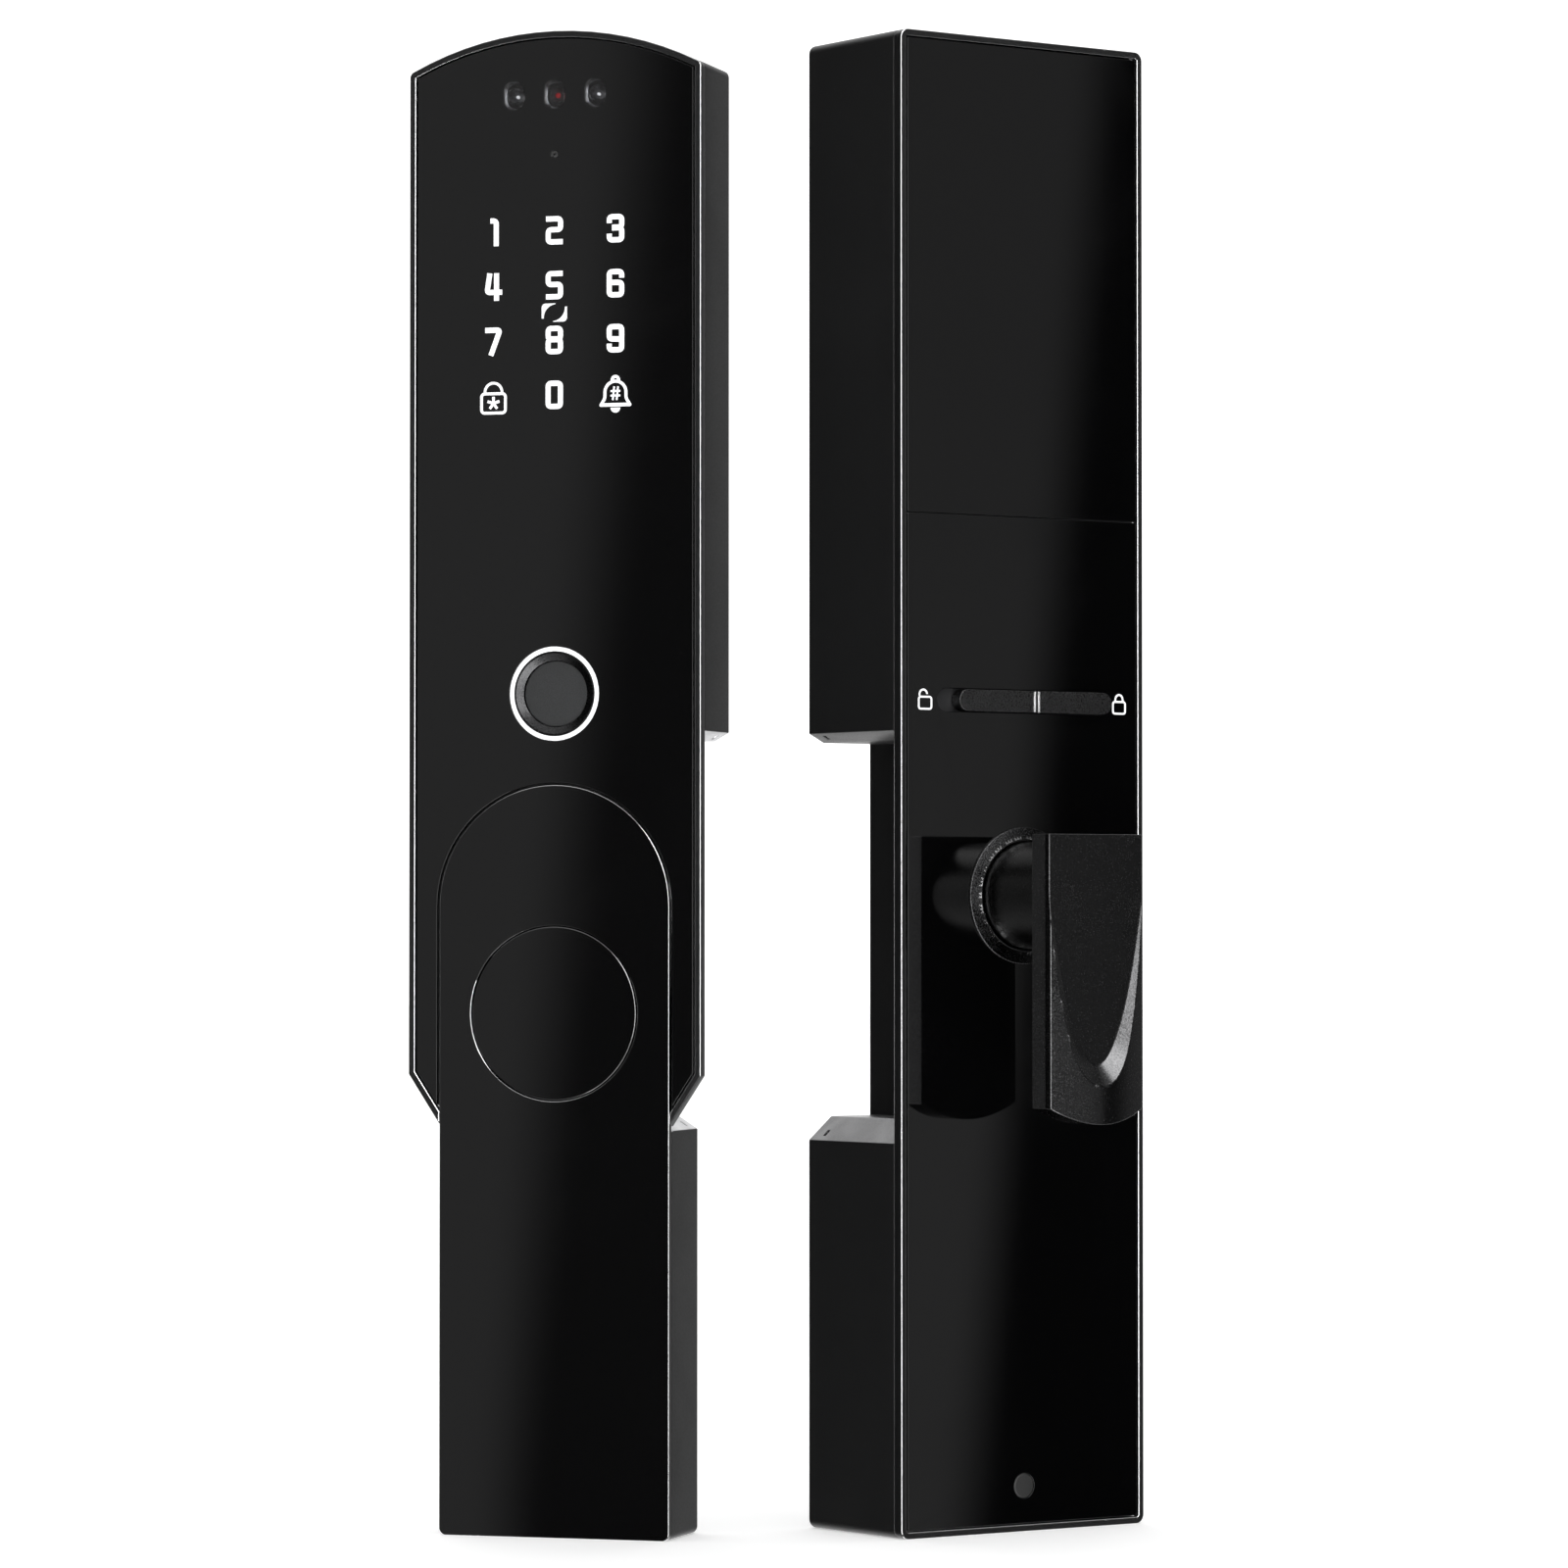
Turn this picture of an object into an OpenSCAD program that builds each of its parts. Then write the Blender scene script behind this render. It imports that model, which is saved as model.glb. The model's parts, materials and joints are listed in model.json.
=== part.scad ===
// Keypad smart lock for a house door, in two units.
// The outdoor unit has the keypad, fingerprint reader and emergency key cylinder. The indoor unit
// has the batteries, the privacy slide and the thumb turn. They are laid out side by side.
// Each unit is drawn upright on its own: x across from its centreline, y back from its front
// plane, z up from its base. outdoor() and indoor() then put it in its place.
// Origin: the outdoor unit's door face, on its centreline, at the height of the thumb turn's axis.

/* [Units] */
// Height of both units
unit_h = 400; // [395:1:410]
// Width of both units
unit_w = 82; // [80:1:86]
// Depth of the outdoor unit, front plane to door face
outdoor_depth = 24.5; // [24:0.5:30]
// Depth of the indoor unit, front plane to door face
indoor_depth = 41.7; // [41:0.1:50]
// Housing wall thickness
wall = 2.2; // [1.8:0.1:2.4]
// Width of the metal bezel round each glass
bezel_w = 1.8; // [1.4:0.1:2]
// Height of the thumb turn's axis above the base
spindle_h = 170; // [168:1:172]

/* [Layout] */
// Angle that the indoor unit is turned from the outdoor one
indoor_yaw = 52.9; // [40:0.1:70]
// Sideways distance from the origin to the middle of the indoor unit's front
indoor_x = 114.2; // [110:0.1:150]
// Distance back from the origin to the middle of the indoor unit's front
indoor_y = 30.4; // [20:0.1:60]

/* [Outdoor front] */
// Radius of the arched top edge
top_arc_r = 89; // [86:1:100]
// Thickness of the front frame
outdoor_frame_t = 3.7; // [3.5:0.1:4]
// Height of the upper end of the lower corner chamfers
chamfer_top = 122.4; // [120:0.1:126]
// Height of the lower end of the chamfers
chamfer_foot = 109; // [108.5:0.1:110]
// Width of the lower block and of the arched panel in front of it
tongue_w = 64.4; // [62:0.2:65]
// Thickness of the arched panel
tongue_t = 2.2; // [2:0.1:2.4]
// Height of the arched panel's top
tongue_top = 199.2; // [196:0.1:202]

/* [Keypad] */
// Height of the top row of digits
row_top_z = 346.7; // [345:0.1:350]
// Distance between rows
row_pitch = 14.6; // [14:0.1:15]
// Distance between columns
column_pitch = 17.15; // [16:0.05:18]
// Height of a digit
digit_h = 7.55; // [6.5:0.05:8]
// Width of a digit's stroke
digit_stroke = 1.4; // [1:0.05:1.5]

/* [Sensors] */
// Height of the three sensor windows
window_z = 383; // [382:0.5:384]
// Distance between the sensor windows
window_pitch = 11.4; // [9:0.1:12]
// Height of the fingerprint reader
finger_z = 223.5; // [222:0.1:226]
// Outer diameter of the fingerprint reader's light ring
ring_d = 24.9; // [24:0.1:26]
// Diameter of the fingerprint sensor
sensor_d = 17.6; // [16:0.1:18]

/* [Emergency key] */
// Height of the key cylinder's axis
key_z = 138.7; // [137:0.1:140]
// Diameter of the round key cover
key_cover_d = 46.2; // [44:0.2:47]
// Length of the tailpiece that stands out of the door face
tailpiece_l = 30; // [10:1:40]

/* [Hand grips] */
// How far each hand grip notch reaches in from the side
grip_reach = 20.4; // [18:0.1:21]

/* [Indoor front] */
// Thickness of the indoor front frame
indoor_frame_t = 3.3; // [3:0.1:3.6]
// Height of the seam between the lower glass and the battery cover
seam_z = 271.6; // [270:0.1:273]
// Height of the privacy slide
slide_z = 222; // [220:0.5:224]
// Length of the privacy slide's bar
slide_l = 51.6; // [48:0.1:52]
// Travel of the privacy slide
slide_travel = 6; // [4:0.5:6]

/* [Thumb turn] */
// Width of the grip
grip_w = 32; // [30:0.5:34]
// Top of the grip above its axis
grip_top = 16.1; // [15:0.1:18]
// Bottom of the grip below its axis
grip_drop = 60.5; // [55:0.5:62]
// Distance from the glass to the grip's back
grip_gap = 24; // [22:0.1:26]
// Thickness of the grip in its middle
grip_t = 9.9; // [9:0.1:10]
// How much thinner the grip is at its sides than in its middle
grip_crown = 2.6; // [1:0.1:3]
// Diameter of the neck
neck_d = 28.5; // [27:0.1:29]
// Diameter of the rose ring on the glass
rose_d = 36.7; // [36:0.1:40]
// Length of the square spindle that stands out of the door face
spindle_l = 20; // [10:1:40]

/* [Fixings] */
// Distance between the two columns of through bolts
bolt_x = 44; // [42:1:46]
// Distance between the two rows of through bolts, centred on the thumb turn's axis
bolt_z = 220; // [218:1:222]

/* [Hidden] */
$fn = 96;

half_w = unit_w / 2;
tongue_r = tongue_w / 2;
arch_z = tongue_top - tongue_r;
arc_z = unit_h - top_arc_r;
slope = (chamfer_top - chamfer_foot) / (half_w - tongue_r);
slope_k = sqrt(1 + slope * slope);
corner_r = 2;
indoor_corner_r = 2.5;
groove_w = 0.5;
glass_in = bezel_w + groove_w;
glass_front = 0.15;
glass_back = 1.85;
floor_front = 1.9;
print_t = 0.1;
fit = 0.1;
past = 1;

plate_in = wall + 0.2;
gasket_t = 1;
outdoor_plate_t = 1.5;
indoor_plate_t = 1.8;
outdoor_plate_y = outdoor_depth - gasket_t - outdoor_plate_t;
indoor_plate_y = indoor_depth - gasket_t - indoor_plate_t;
post_gap = 0.1;

bolt_low = spindle_h - bolt_z / 2;
bolt_high = spindle_h + bolt_z / 2;
BOLTS = [for (sx = [-1, 1], z = [bolt_low, bolt_high]) [sx * bolt_x / 2, z]];
boss_r = 5;
bolt_tap_r = 2.1;
PLATE_SCREWS = [for (sx = [-1, 1], p = [[33, 380], [35, 232], [25, 10]]) [sx * p[0], p[1]]];
plate_post_r = 3.4;
screw_r = 1.25;

outdoor_grip = [[half_w + 4, 213.4], [half_w, 213.4], [half_w - 4, 211.1],
    [half_w - grip_reach, 211.1], [half_w - grip_reach, 111], [tongue_r - 5, 111],
    [tongue_r, 107.8], [half_w + 4, 107.8]];
indoor_grip = [[-half_w - 4, 213.7], [-half_w, 213.7], [-half_w + 4.8, 211.3],
    [-half_w + grip_reach, 211.3], [-half_w + grip_reach, 110.6], [-half_w + 7.4, 110.6],
    [-half_w, 104.3], [-half_w - 4, 104.3]];
lower_block_top = outdoor_grip[7][1];

cover_r = key_cover_d / 2;
cylinder_r = 13;
flange_r = 15;
plug_r = 6.25;
magnet_r = 2.5;
magnet_x = 19;
cable_z = 250;

slide_x = 3.2;
slide_floor = 2.3;
slide_r = 2.85;
slot_r = 3.15;
slot_lo = slide_x - slide_l / 2 - slide_travel - 0.3;
slot_hi = slide_x + slide_l / 2 + 0.3;
stem_w = 8;
stem_h = 3;
plug_z = 12.2;
plug_hole_r = 3.4;

shaft_r = 6;
square_w = 8;
board_y = 26;
BOARD_POSTS = [for (x = [-12, 32], z = [30, 140]) [x, z]];

cell_r = 7.2;
cell_l = 50.5;
cell_pitch = 16.6;
pocket_l = 54.4;
cell_y = 15.6;
row_z = [seam_z + 6.4, seam_z + 6.4 + pocket_l + 5.2];
CELLS = [for (r = [0, 1], c = [0:3]) [(c - 1.5) * cell_pitch, row_z[r], (c + r) % 2]];

glass_black = [0.03, 0.03, 0.035];
metal_dark = [0.17, 0.17, 0.18];
metal_bezel = [0.32, 0.32, 0.33];
plastic_dark = [0.1, 0.1, 0.1];
light_white = [0.95, 0.96, 0.97];
steel = [0.62, 0.63, 0.65];
board_green = [0.06, 0.25, 0.14];

// ---- places and simple shapes ----

module outdoor() {
    translate([0, -outdoor_depth, -spindle_h]) children();
}

module indoor() {
    translate([indoor_x, indoor_y, -spindle_h]) rotate([0, 0, indoor_yaw]) children();
}

// A flat x-z outline as a slab between two depths
module slab(y0, y1) {
    translate([0, y1, 0]) rotate([90, 0, 0]) linear_extrude(y1 - y0) children();
}

module rod(at, y0, y1, r) {
    translate([at[0], y1, at[1]]) rotate([90, 0, 0]) cylinder(h = y1 - y0, r = r);
}

module pipe(at, y0, y1, r, bore_r) {
    difference() {
        rod(at, y0, y1, r);
        rod(at, y0 - past, y1 + past, bore_r);
    }
}

// A turned piece from its outline of [radius, depth] points
module turned(at, outline) {
    translate([at[0], 0, at[1]]) rotate([-90, 0, 0]) rotate_extrude() polygon(outline);
}

module block(x, y, z) {
    translate([x[0], y[0], z[0]]) cube([x[1] - x[0], y[1] - y[0], z[1] - z[0]]);
}

module round_rect(x, z, r) {
    translate([x[0] + r, z[0]]) square([x[1] - x[0] - 2 * r, z[1] - z[0]]);
    translate([x[0], z[0] + r]) square([x[1] - x[0], z[1] - z[0] - 2 * r]);
    for (cx = [x[0] + r, x[1] - r], cz = [z[0] + r, z[1] - r]) translate([cx, cz]) circle(r);
}

// A line of width w through a list of points, with square ends
module ribbon(points, w) {
    last = len(points) - 1;
    for (i = [0:last - 1]) {
        step = points[i + 1] - points[i];
        translate(points[i]) rotate(atan2(step[1], step[0])) translate([0, -w / 2])
            square([norm(step), w]);
    }
    if (last > 1) for (i = [1:last - 1]) translate(points[i]) circle(w / 2);
}

// The same line with round ends
module stroke(points, w) {
    ribbon(points, w);
    for (i = [0, len(points) - 1]) translate(points[i]) circle(w / 2);
}

// A line's corners each turned into a curve that starts r before the corner and ends r after it
function softened(points, r) = [
    for (i = [0:len(points) - 1])
        if (i == 0 || i == len(points) - 1) points[i]
        else let (back = points[i - 1] - points[i], on = points[i + 1] - points[i])
            for (s = [0:0.25:1])
                points[i] + r * (pow(1 - s, 2) * back / norm(back) + pow(s, 2) * on / norm(on))];

// ---- outlines ----

// Front view of the outdoor unit, drawn in by d all round
module outdoor_outline(d = 0) {
    a = half_w - d;
    b = tongue_r - d;
    r = max(corner_r - d, 0.3);
    big_r = top_arc_r - d;
    cz = arc_z + sqrt(pow(big_r - r, 2) - pow(a - r, 2));
    tangent = [a - r, cz - arc_z] * big_r / (big_r - r) + [0, arc_z];
    foot = chamfer_foot + d * (slope_k - slope);
    shoulder = chamfer_top - d * slope + d * slope_k;
    right = [[b - r, d], [b, d + r], [b, foot], [a, shoulder], [a, cz], tangent,
        [tangent[0], unit_h + 5]];
    intersection() {
        polygon(concat(right, [for (i = [len(right) - 1:-1:0]) [-right[i][0], right[i][1]]]));
        union() {
            translate([0, arc_z]) circle(big_r, $fn = 240);
            translate([-unit_w, -5]) square([2 * unit_w, arc_z + 5]);
        }
    }
    for (sx = [-1, 1]) {
        translate([sx * (b - r), d + r]) circle(r);
        translate([sx * (a - r), cz]) circle(r);
    }
}

// Arched panel, drawn in by d at its sides and top
module arch(d = 0) {
    r = tongue_r - d;
    translate([0, arch_z]) circle(r, $fn = 160);
    translate([-r, corner_r]) square([2 * r, arch_z - corner_r]);
    translate([-r + corner_r, 0]) square([2 * (r - corner_r), corner_r]);
    for (sx = [-1, 1]) translate([sx * (r - corner_r), corner_r]) circle(corner_r);
}

module indoor_outline(d = 0) {
    round_rect([-half_w + d, half_w - d], [d, unit_h - d], max(indoor_corner_r - d, 0.3));
}

// The part of an outline above a height
module above(z) {
    intersection() {
        children();
        translate([-unit_w, z]) square([2 * unit_w, unit_h]);
    }
}

// A hand grip notch, with its faces set back by g
module grip_notch(p, g = 0) {
    s = sign(p[0][0]);
    lift = [0, g];
    polygon([p[0] + lift, p[1] + lift, p[2] + lift, p[3] + [-s * g, g], p[4] + [-s * g, -g],
        p[5] - lift, p[6] - lift, p[7] - lift]);
}

// The small blind slots in a grip's upper and lower faces, each at an [x, z] on its face
module grip_marks(depth, faces) {
    for (at = faces) translate([at[0], depth - 5, at[1]]) cube([1.6, 1, 2.4], center = true);
}

module pill(w, h) {
    round_rect([-w / 2, w / 2], [-h / 2, h / 2], w / 2 - 0.01);
}

module cable_slot(grow = 0) {
    round_rect([-12 - grow, 12 + grow], [cable_z - 5 - grow, cable_z + 5 + grow], 4);
}

// ---- outdoor unit: front ----

module outdoor_frame() color(metal_bezel) outdoor() difference() {
    union() {
        slab(0, outdoor_frame_t) above(chamfer_foot) outdoor_outline();
        slab(tongue_t, outdoor_frame_t) round_rect([-tongue_r + plate_in, tongue_r - plate_in],
            [plate_in, chamfer_foot + 5], 1);
        for (at = BOLTS) rod(at, outdoor_frame_t - 0.5, outdoor_plate_y - post_gap, boss_r);
        for (at = PLATE_SCREWS) {
            rod(at, outdoor_frame_t - 0.5, outdoor_plate_y - post_gap, plate_post_r);
        }
    }
    slab(-past, floor_front) above(chamfer_foot - 2) outdoor_outline(bezel_w);
    slab(-past, tongue_t) arch(-fit);
    slab(0, outdoor_frame_t + past) {
        for (i = [-1:1]) translate([i * window_pitch, window_z]) pill(4.8, 6.6);
        round_rect([-26, 26], [295, 355.5], 2);
        translate([0, 367]) circle(0.8);
        translate([0, finger_z]) circle(ring_d / 2 + fit);
        translate([0, key_z]) circle(flange_r + fit);
        for (sx = [-1, 1]) translate([sx * magnet_x, key_z]) circle(magnet_r + fit);
    }
    for (at = BOLTS) rod(at, 8, outdoor_depth, bolt_tap_r);
    for (at = PLATE_SCREWS) rod(at, 8, outdoor_depth, screw_r + 0.05);
}

module outdoor_glass() color(glass_black) outdoor() slab(glass_front, glass_back) difference() {
    above(chamfer_foot) outdoor_outline(glass_in);
    arch(-0.8);
    for (i = [-1:1]) translate([i * window_pitch, window_z]) pill(5.7, 7.6);
    translate([0, 367]) circle(1);
    translate([0, finger_z]) circle(ring_d / 2 + fit);
}

// Shares of a digit's half height: where its strokes turn from centre, how high its middle
// stroke is and how far strokes overlap; then how far its rounded corners reach
w1 = 0.565;
mid = 0.06;
lap = 0.1;
digit_corner = 0.9;
// Each digit's strokes, in the same shares
DIGITS = [
    [for (s = [-1, 1]) [[-s * lap, 1], [s * w1, 1], [s * w1, -1], [-s * lap, -1]]],
    [[[-0.3, 1], [0.24, 1], [0.24, -1.2]]],
    [[[-w1 - 0.2, 1], [w1, 1], [w1, mid], [-w1, mid], [-w1, -1], [w1 + 0.2, -1]]],
    [for (s = [-1, 1]) [[-w1, s * 0.46], [-w1, s], [w1, s], [w1, s * 0.03 + mid],
        [-0.32, s * 0.03 + mid]]],
    [[[-0.34, 1.2], [-w1 - 0.04, -0.46], [w1 + 0.22, -0.46]], [[0.27, 1.2], [0.27, -1.2]]],
    [[[w1 + 0.2, 1], [-w1, 1], [-w1, mid], [w1, mid], [w1, -1], [-w1 - 0.2, -1]]],
    [[[w1, 0.46], [w1, 1], [-w1, 1], [-w1, -1], [w1, -1], [w1, mid], [0, mid]],
        [[lap, mid + 0.01], [-w1, mid + 0.01]]],
    [[[-w1 - 0.2, 1], [w1 + 0.03, 1], [-0.25, -1.2]]],
    [for (s = [-1, 1], t = [-1, 1]) [[-s * lap, t], [s * w1, t], [s * w1, t * 0.03 + mid],
        [-s * lap, t * 0.03 + mid]]],
    [[[-w1, -0.46], [-w1, -1], [w1, -1], [w1, 1], [-w1, 1], [-w1, -mid], [0, -mid]],
        [[-lap, -mid - 0.01], [w1, -mid - 0.01]]]];

module printed() {
    slab(glass_front - print_t, glass_front) children();
}

module keypad_digits() color(light_white) outdoor() printed() {
    half = (digit_h - digit_stroke) / 2;
    for (n = [0:9]) {
        column = n == 0 ? 0 : (n - 1) % 3 - 1;
        row = n == 0 ? 3 : floor((n - 1) / 3);
        translate([column * column_pitch, row_top_z - row * row_pitch])
            for (line = DIGITS[n]) ribbon(softened(line * half, digit_corner), digit_stroke);
    }
}

module padlock_body(w, h, r, line) {
    difference() {
        round_rect([-w / 2, w / 2], [0, h], r);
        round_rect([-w / 2 + line, w / 2 - line], [line, h - line], r - line);
    }
}

// A shackle's half ring with its two legs, standing on z = 0
module shackle(r, leg, line) {
    translate([0, leg]) intersection() {
        difference() {
            circle(r);
            circle(r - line);
        }
        translate([-r, 0]) square([2 * r, r]);
    }
    for (x = [-r, r - line]) translate([x, 0]) square([line, leg]);
}

module star_sign(arm, line) {
    for (i = [0:4]) rotate(72 * i) translate([-line / 2, 0]) square([line, arm]);
}

module hash_sign(w, h, line) {
    for (sx = [-1, 1]) {
        ribbon([[sx * w / 5 - 0.2, -h / 2], [sx * w / 5 + 0.2, h / 2]], line);
        ribbon([[-w / 2, sx * h / 6], [w / 2, sx * h / 6]], line);
    }
}

module bell(line) {
    foot = -3.05;
    lip = foot + 0.55;
    flare = [[2.95, 0.2], [2.95, -1.3], [3.9, foot + 0.25]];
    stroke([[-4.0, foot], [4.0, foot]], line * 1.15);
    for (sx = [-1, 1]) stroke(softened([for (p = flare) [sx * p[0], p[1]]], 0.6), line);
    translate([0, 0.2]) shackle(2.95 + line / 2, 0.05, line);
    translate([0, 3.55]) difference() {
        circle(1.3);
        circle(0.5);
        translate([-2, -2]) square([4, 1.6]);
    }
    translate([0, foot - 0.75]) intersection() {
        circle(1.35);
        translate([-2, -2]) square([4, 2]);
    }
}

module keypad_icons() color(light_white) outdoor() printed() {
    low = row_top_z - 3 * row_pitch;
    translate([-column_pitch, low - 4.8]) {
        padlock_body(7.5, 5.9, 1.3, 0.75);
        translate([0, 5.9]) shackle(2.75, 0.05, 0.7);
        translate([0, 2.95]) star_sign(1.75, 0.72);
    }
    translate([column_pitch, low]) {
        bell(0.8);
        hash_sign(2.7, 3.6, 0.5);
    }
}

// Two opposed crescents, each the corner of a rounded square with a disc cut from it
module card_mark() color(light_white) outdoor() printed() {
    for (turn = [0, 180]) translate([0, row_top_z - 1.5 * row_pitch]) rotate(turn) {
        difference() {
            intersection() {
                round_rect([-3.55, 3.55], [-2.45, 2.45], 1.1);
                translate([-3.6, -1.5]) square([3.9, 5]);
            }
            translate([0.62, -1.35]) circle(3.62);
        }
    }
}

module sensor_windows() color([0.4, 0.4, 0.42]) outdoor() slab(0.4, glass_back) {
    for (i = [-1:1]) translate([i * window_pitch, window_z]) pill(5.6, 7.5);
}

module infrared_lamps() color([0.85, 0.85, 0.9]) outdoor() {
    for (i = [-1, 1]) translate([i * window_pitch, 0, window_z]) intersection() {
        union() {
            rod([0, 0], 4, 7, 2);
            translate([0, 4, 0]) sphere(2);
        }
        block([-3, 3], [1.95, 7], [-3, 3]);
    }
}

module camera_lens() color([0.25, 0.02, 0.02]) outdoor() {
    turned([0, window_z], [[0, 2.2], [1.2, 2.5], [2.2, 2.5], [2.2, 9], [0, 9]]);
}

module microphone_port() color([0.5, 0.5, 0.5]) outdoor() difference() {
    rod([0, 367], 0.3, glass_back, 0.95);
    rod([0, 367], 0, 1.2, 0.35);
}

module light_guide() color([0.9, 0.9, 0.88]) outdoor() {
    slab(floor_front + 0.05, 3.6) round_rect([-25.8, 25.8], [295.2, 355.3], 1.8);
}

module keypad_board() color(board_green) outdoor() {
    slab(4, 5.2) round_rect([-27.5, 27.5], [288.5, 361], 2);
    for (z = [300, 330]) block([-6, 6], [5.2, 6.6], [z, z + 14]);
    block([14, 24], [5.2, 9.2], [292, 297]);
}

module fingerprint_ring() color("white") outdoor() {
    pipe([0, finger_z], 0.1, outdoor_frame_t - 0.1, ring_d / 2, ring_d / 2 - 1.1);
}

module fingerprint_bezel() color([0.12, 0.12, 0.13]) outdoor() {
    outer = ring_d / 2 - 1.15;
    inner = sensor_d / 2 + 0.05;
    turned([0, finger_z], [[outer, 0.3], [outer, 3.6], [inner, 3.6], [inner, 1.8]]);
}

module fingerprint_sensor() color([0.22, 0.22, 0.23]) outdoor() {
    turned([0, finger_z], [[0, 1.95], [sensor_d / 2 - 0.2, 1.95], [sensor_d / 2, 2.15],
        [sensor_d / 2, 3.6], [0, 3.6]]);
}

module fingerprint_module() color([0.15, 0.15, 0.16]) outdoor() {
    rod([0, finger_z], outdoor_frame_t, 8.5, ring_d / 2 + 1);
    block([-5, 5], [8.5, 10.5], [finger_z - 9, finger_z - 4]);
}

module tongue_panel() color(glass_black) outdoor() slab(0, tongue_t - 0.05) difference() {
    arch();
    translate([0, key_z]) circle(cover_r + 0.25, $fn = 160);
}

// ---- outdoor unit: housing and what it holds ----

module outdoor_housing() color(metal_dark) outdoor() difference() {
    union() {
        slab(outdoor_frame_t, outdoor_depth) outdoor_outline();
        slab(tongue_t, outdoor_frame_t) difference() {
            outdoor_outline();
            translate([-unit_w, lower_block_top]) square([2 * unit_w, unit_h]);
        }
    }
    slab(0, outdoor_depth + past) difference() {
        outdoor_outline(wall);
        grip_notch(outdoor_grip, wall);
    }
    slab(outdoor_frame_t - past, outdoor_depth + past) grip_notch(outdoor_grip);
    grip_marks(outdoor_depth, [[half_w - 2.3, 212.1], [tongue_r - 2.3, 109.3]]);
    translate([0, 12, -past]) linear_extrude(wall + 2 * past)
        round_rect([-5, 5], [-2.2, 2.2], 2);
}

module outdoor_board() color(board_green) outdoor() {
    slab(8, 9.2) difference() {
        round_rect([-27, 27], [17, 102], 2);
        for (at = BOLTS) translate(at) circle(boss_r + 0.6);
    }
    block([-8, 8], [9.2, 11], [70, 86]);
    block([-13, -3], [9.2, 11.5], [26, 38]);
    block([4, 16], [9.2, 14], [92, 98]);
    for (i = [0:3]) block([-14 + 8 * i, -11 + 8 * i], [9.2, 10.4], [48, 54]);
}

module speaker() color([0.2, 0.2, 0.2]) outdoor() difference() {
    union() {
        rod([-16, 184], 10, 13, 11);
        rod([-16, 184], 13, 17, 7);
    }
    turned([-16, 184], [[0, 9], [9, 9], [4, 12], [0, 12]]);
}

module power_port() color(steel) outdoor() translate([0, 12, 0.4]) difference() {
    linear_extrude(8) round_rect([-4.6, 4.6], [-1.75, 1.75], 1.7);
    translate([0, 0, -past]) linear_extrude(7.4) difference() {
        round_rect([-4.2, 4.2], [-1.4, 1.4], 1.35);
        translate([-3.3, -0.35]) square([6.6, 0.7]);
    }
}

module outdoor_plate() color(steel) outdoor() {
    slab(outdoor_plate_y, outdoor_plate_y + outdoor_plate_t) difference() {
        outdoor_outline(plate_in);
        grip_notch(outdoor_grip, plate_in);
        for (at = BOLTS) translate(at) circle(2.8);
        for (at = PLATE_SCREWS) translate(at) circle(1.6);
        translate([0, key_z]) circle(9);
        cable_slot();
    }
}

module outdoor_plate_screws() color(steel) outdoor() {
    head_y = outdoor_plate_y + outdoor_plate_t;
    for (at = PLATE_SCREWS) difference() {
        union() {
            rod(at, 12, head_y, screw_r);
            rod(at, head_y, head_y + 0.9, 2.6);
        }
        for (turn = [0, 90]) translate([at[0], head_y + 0.4, at[1]]) rotate([0, turn, 0])
            block([-1.5, 1.5], [0, 1], [-0.3, 0.3]);
    }
}

module outdoor_gasket() color([0.05, 0.05, 0.05]) outdoor() {
    slab(outdoor_depth - gasket_t, outdoor_depth) difference() {
        outdoor_outline(plate_in);
        grip_notch(outdoor_grip, plate_in);
        for (at = BOLTS) translate(at) circle(4);
        for (at = PLATE_SCREWS) translate(at) circle(3);
        translate([0, key_z]) circle(10);
        cable_slot(1);
    }
}

// ---- outdoor unit: emergency key ----

module key_cylinder() color([0.72, 0.66, 0.5]) outdoor() difference() {
    turned([0, key_z], [[0, tongue_t + 0.3], [flange_r - 0.5, tongue_t + 0.3],
        [flange_r, tongue_t + 0.8], [flange_r, outdoor_frame_t], [cylinder_r, outdoor_frame_t],
        [cylinder_r, 21], [0, 21]]);
    rod([0, key_z], 0, outdoor_depth, plug_r + 0.05);
}

module key_cover_magnets() color([0.75, 0.75, 0.77]) outdoor() {
    for (sx = [-1, 1]) rod([sx * magnet_x, key_z], tongue_t + 0.05, outdoor_frame_t, magnet_r);
}

module key_plug() color([0.78, 0.72, 0.55]) outdoor() difference() {
    rod([0, key_z], tongue_t + 0.4, 21.1, plug_r);
    block([-1, 1], [0, 17], [key_z - 4.2, key_z + 4.2]);
}

module key_tailpiece() color(steel) outdoor() {
    rod([0, key_z], 21.1, 23.2, 8);
    block([-4, 4], [23.2, outdoor_depth + tailpiece_l], [key_z - 1, key_z + 1]);
}

module key_cover() color(glass_black) outdoor() {
    turned([0, key_z], [[0, 0], [cover_r - 0.3, 0], [cover_r, 0.3], [cover_r, tongue_t - 0.3],
        [0, tongue_t - 0.3]]);
}

// ---- indoor unit: front ----

module slot_outline(grow = 0) {
    round_rect([slot_lo - grow, slot_hi + grow],
        [slide_z - slot_r - grow, slide_z + slot_r + grow], slot_r + grow - 0.01);
}

module stem_slot(grow = 0) {
    round_rect([slide_x - stem_w / 2 - slide_travel - 0.4 - grow, slide_x + stem_w / 2 + 0.4 + grow],
        [slide_z - stem_h / 2 - 0.2 - grow, slide_z + stem_h / 2 + 0.2 + grow], 0.5);
}

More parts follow.
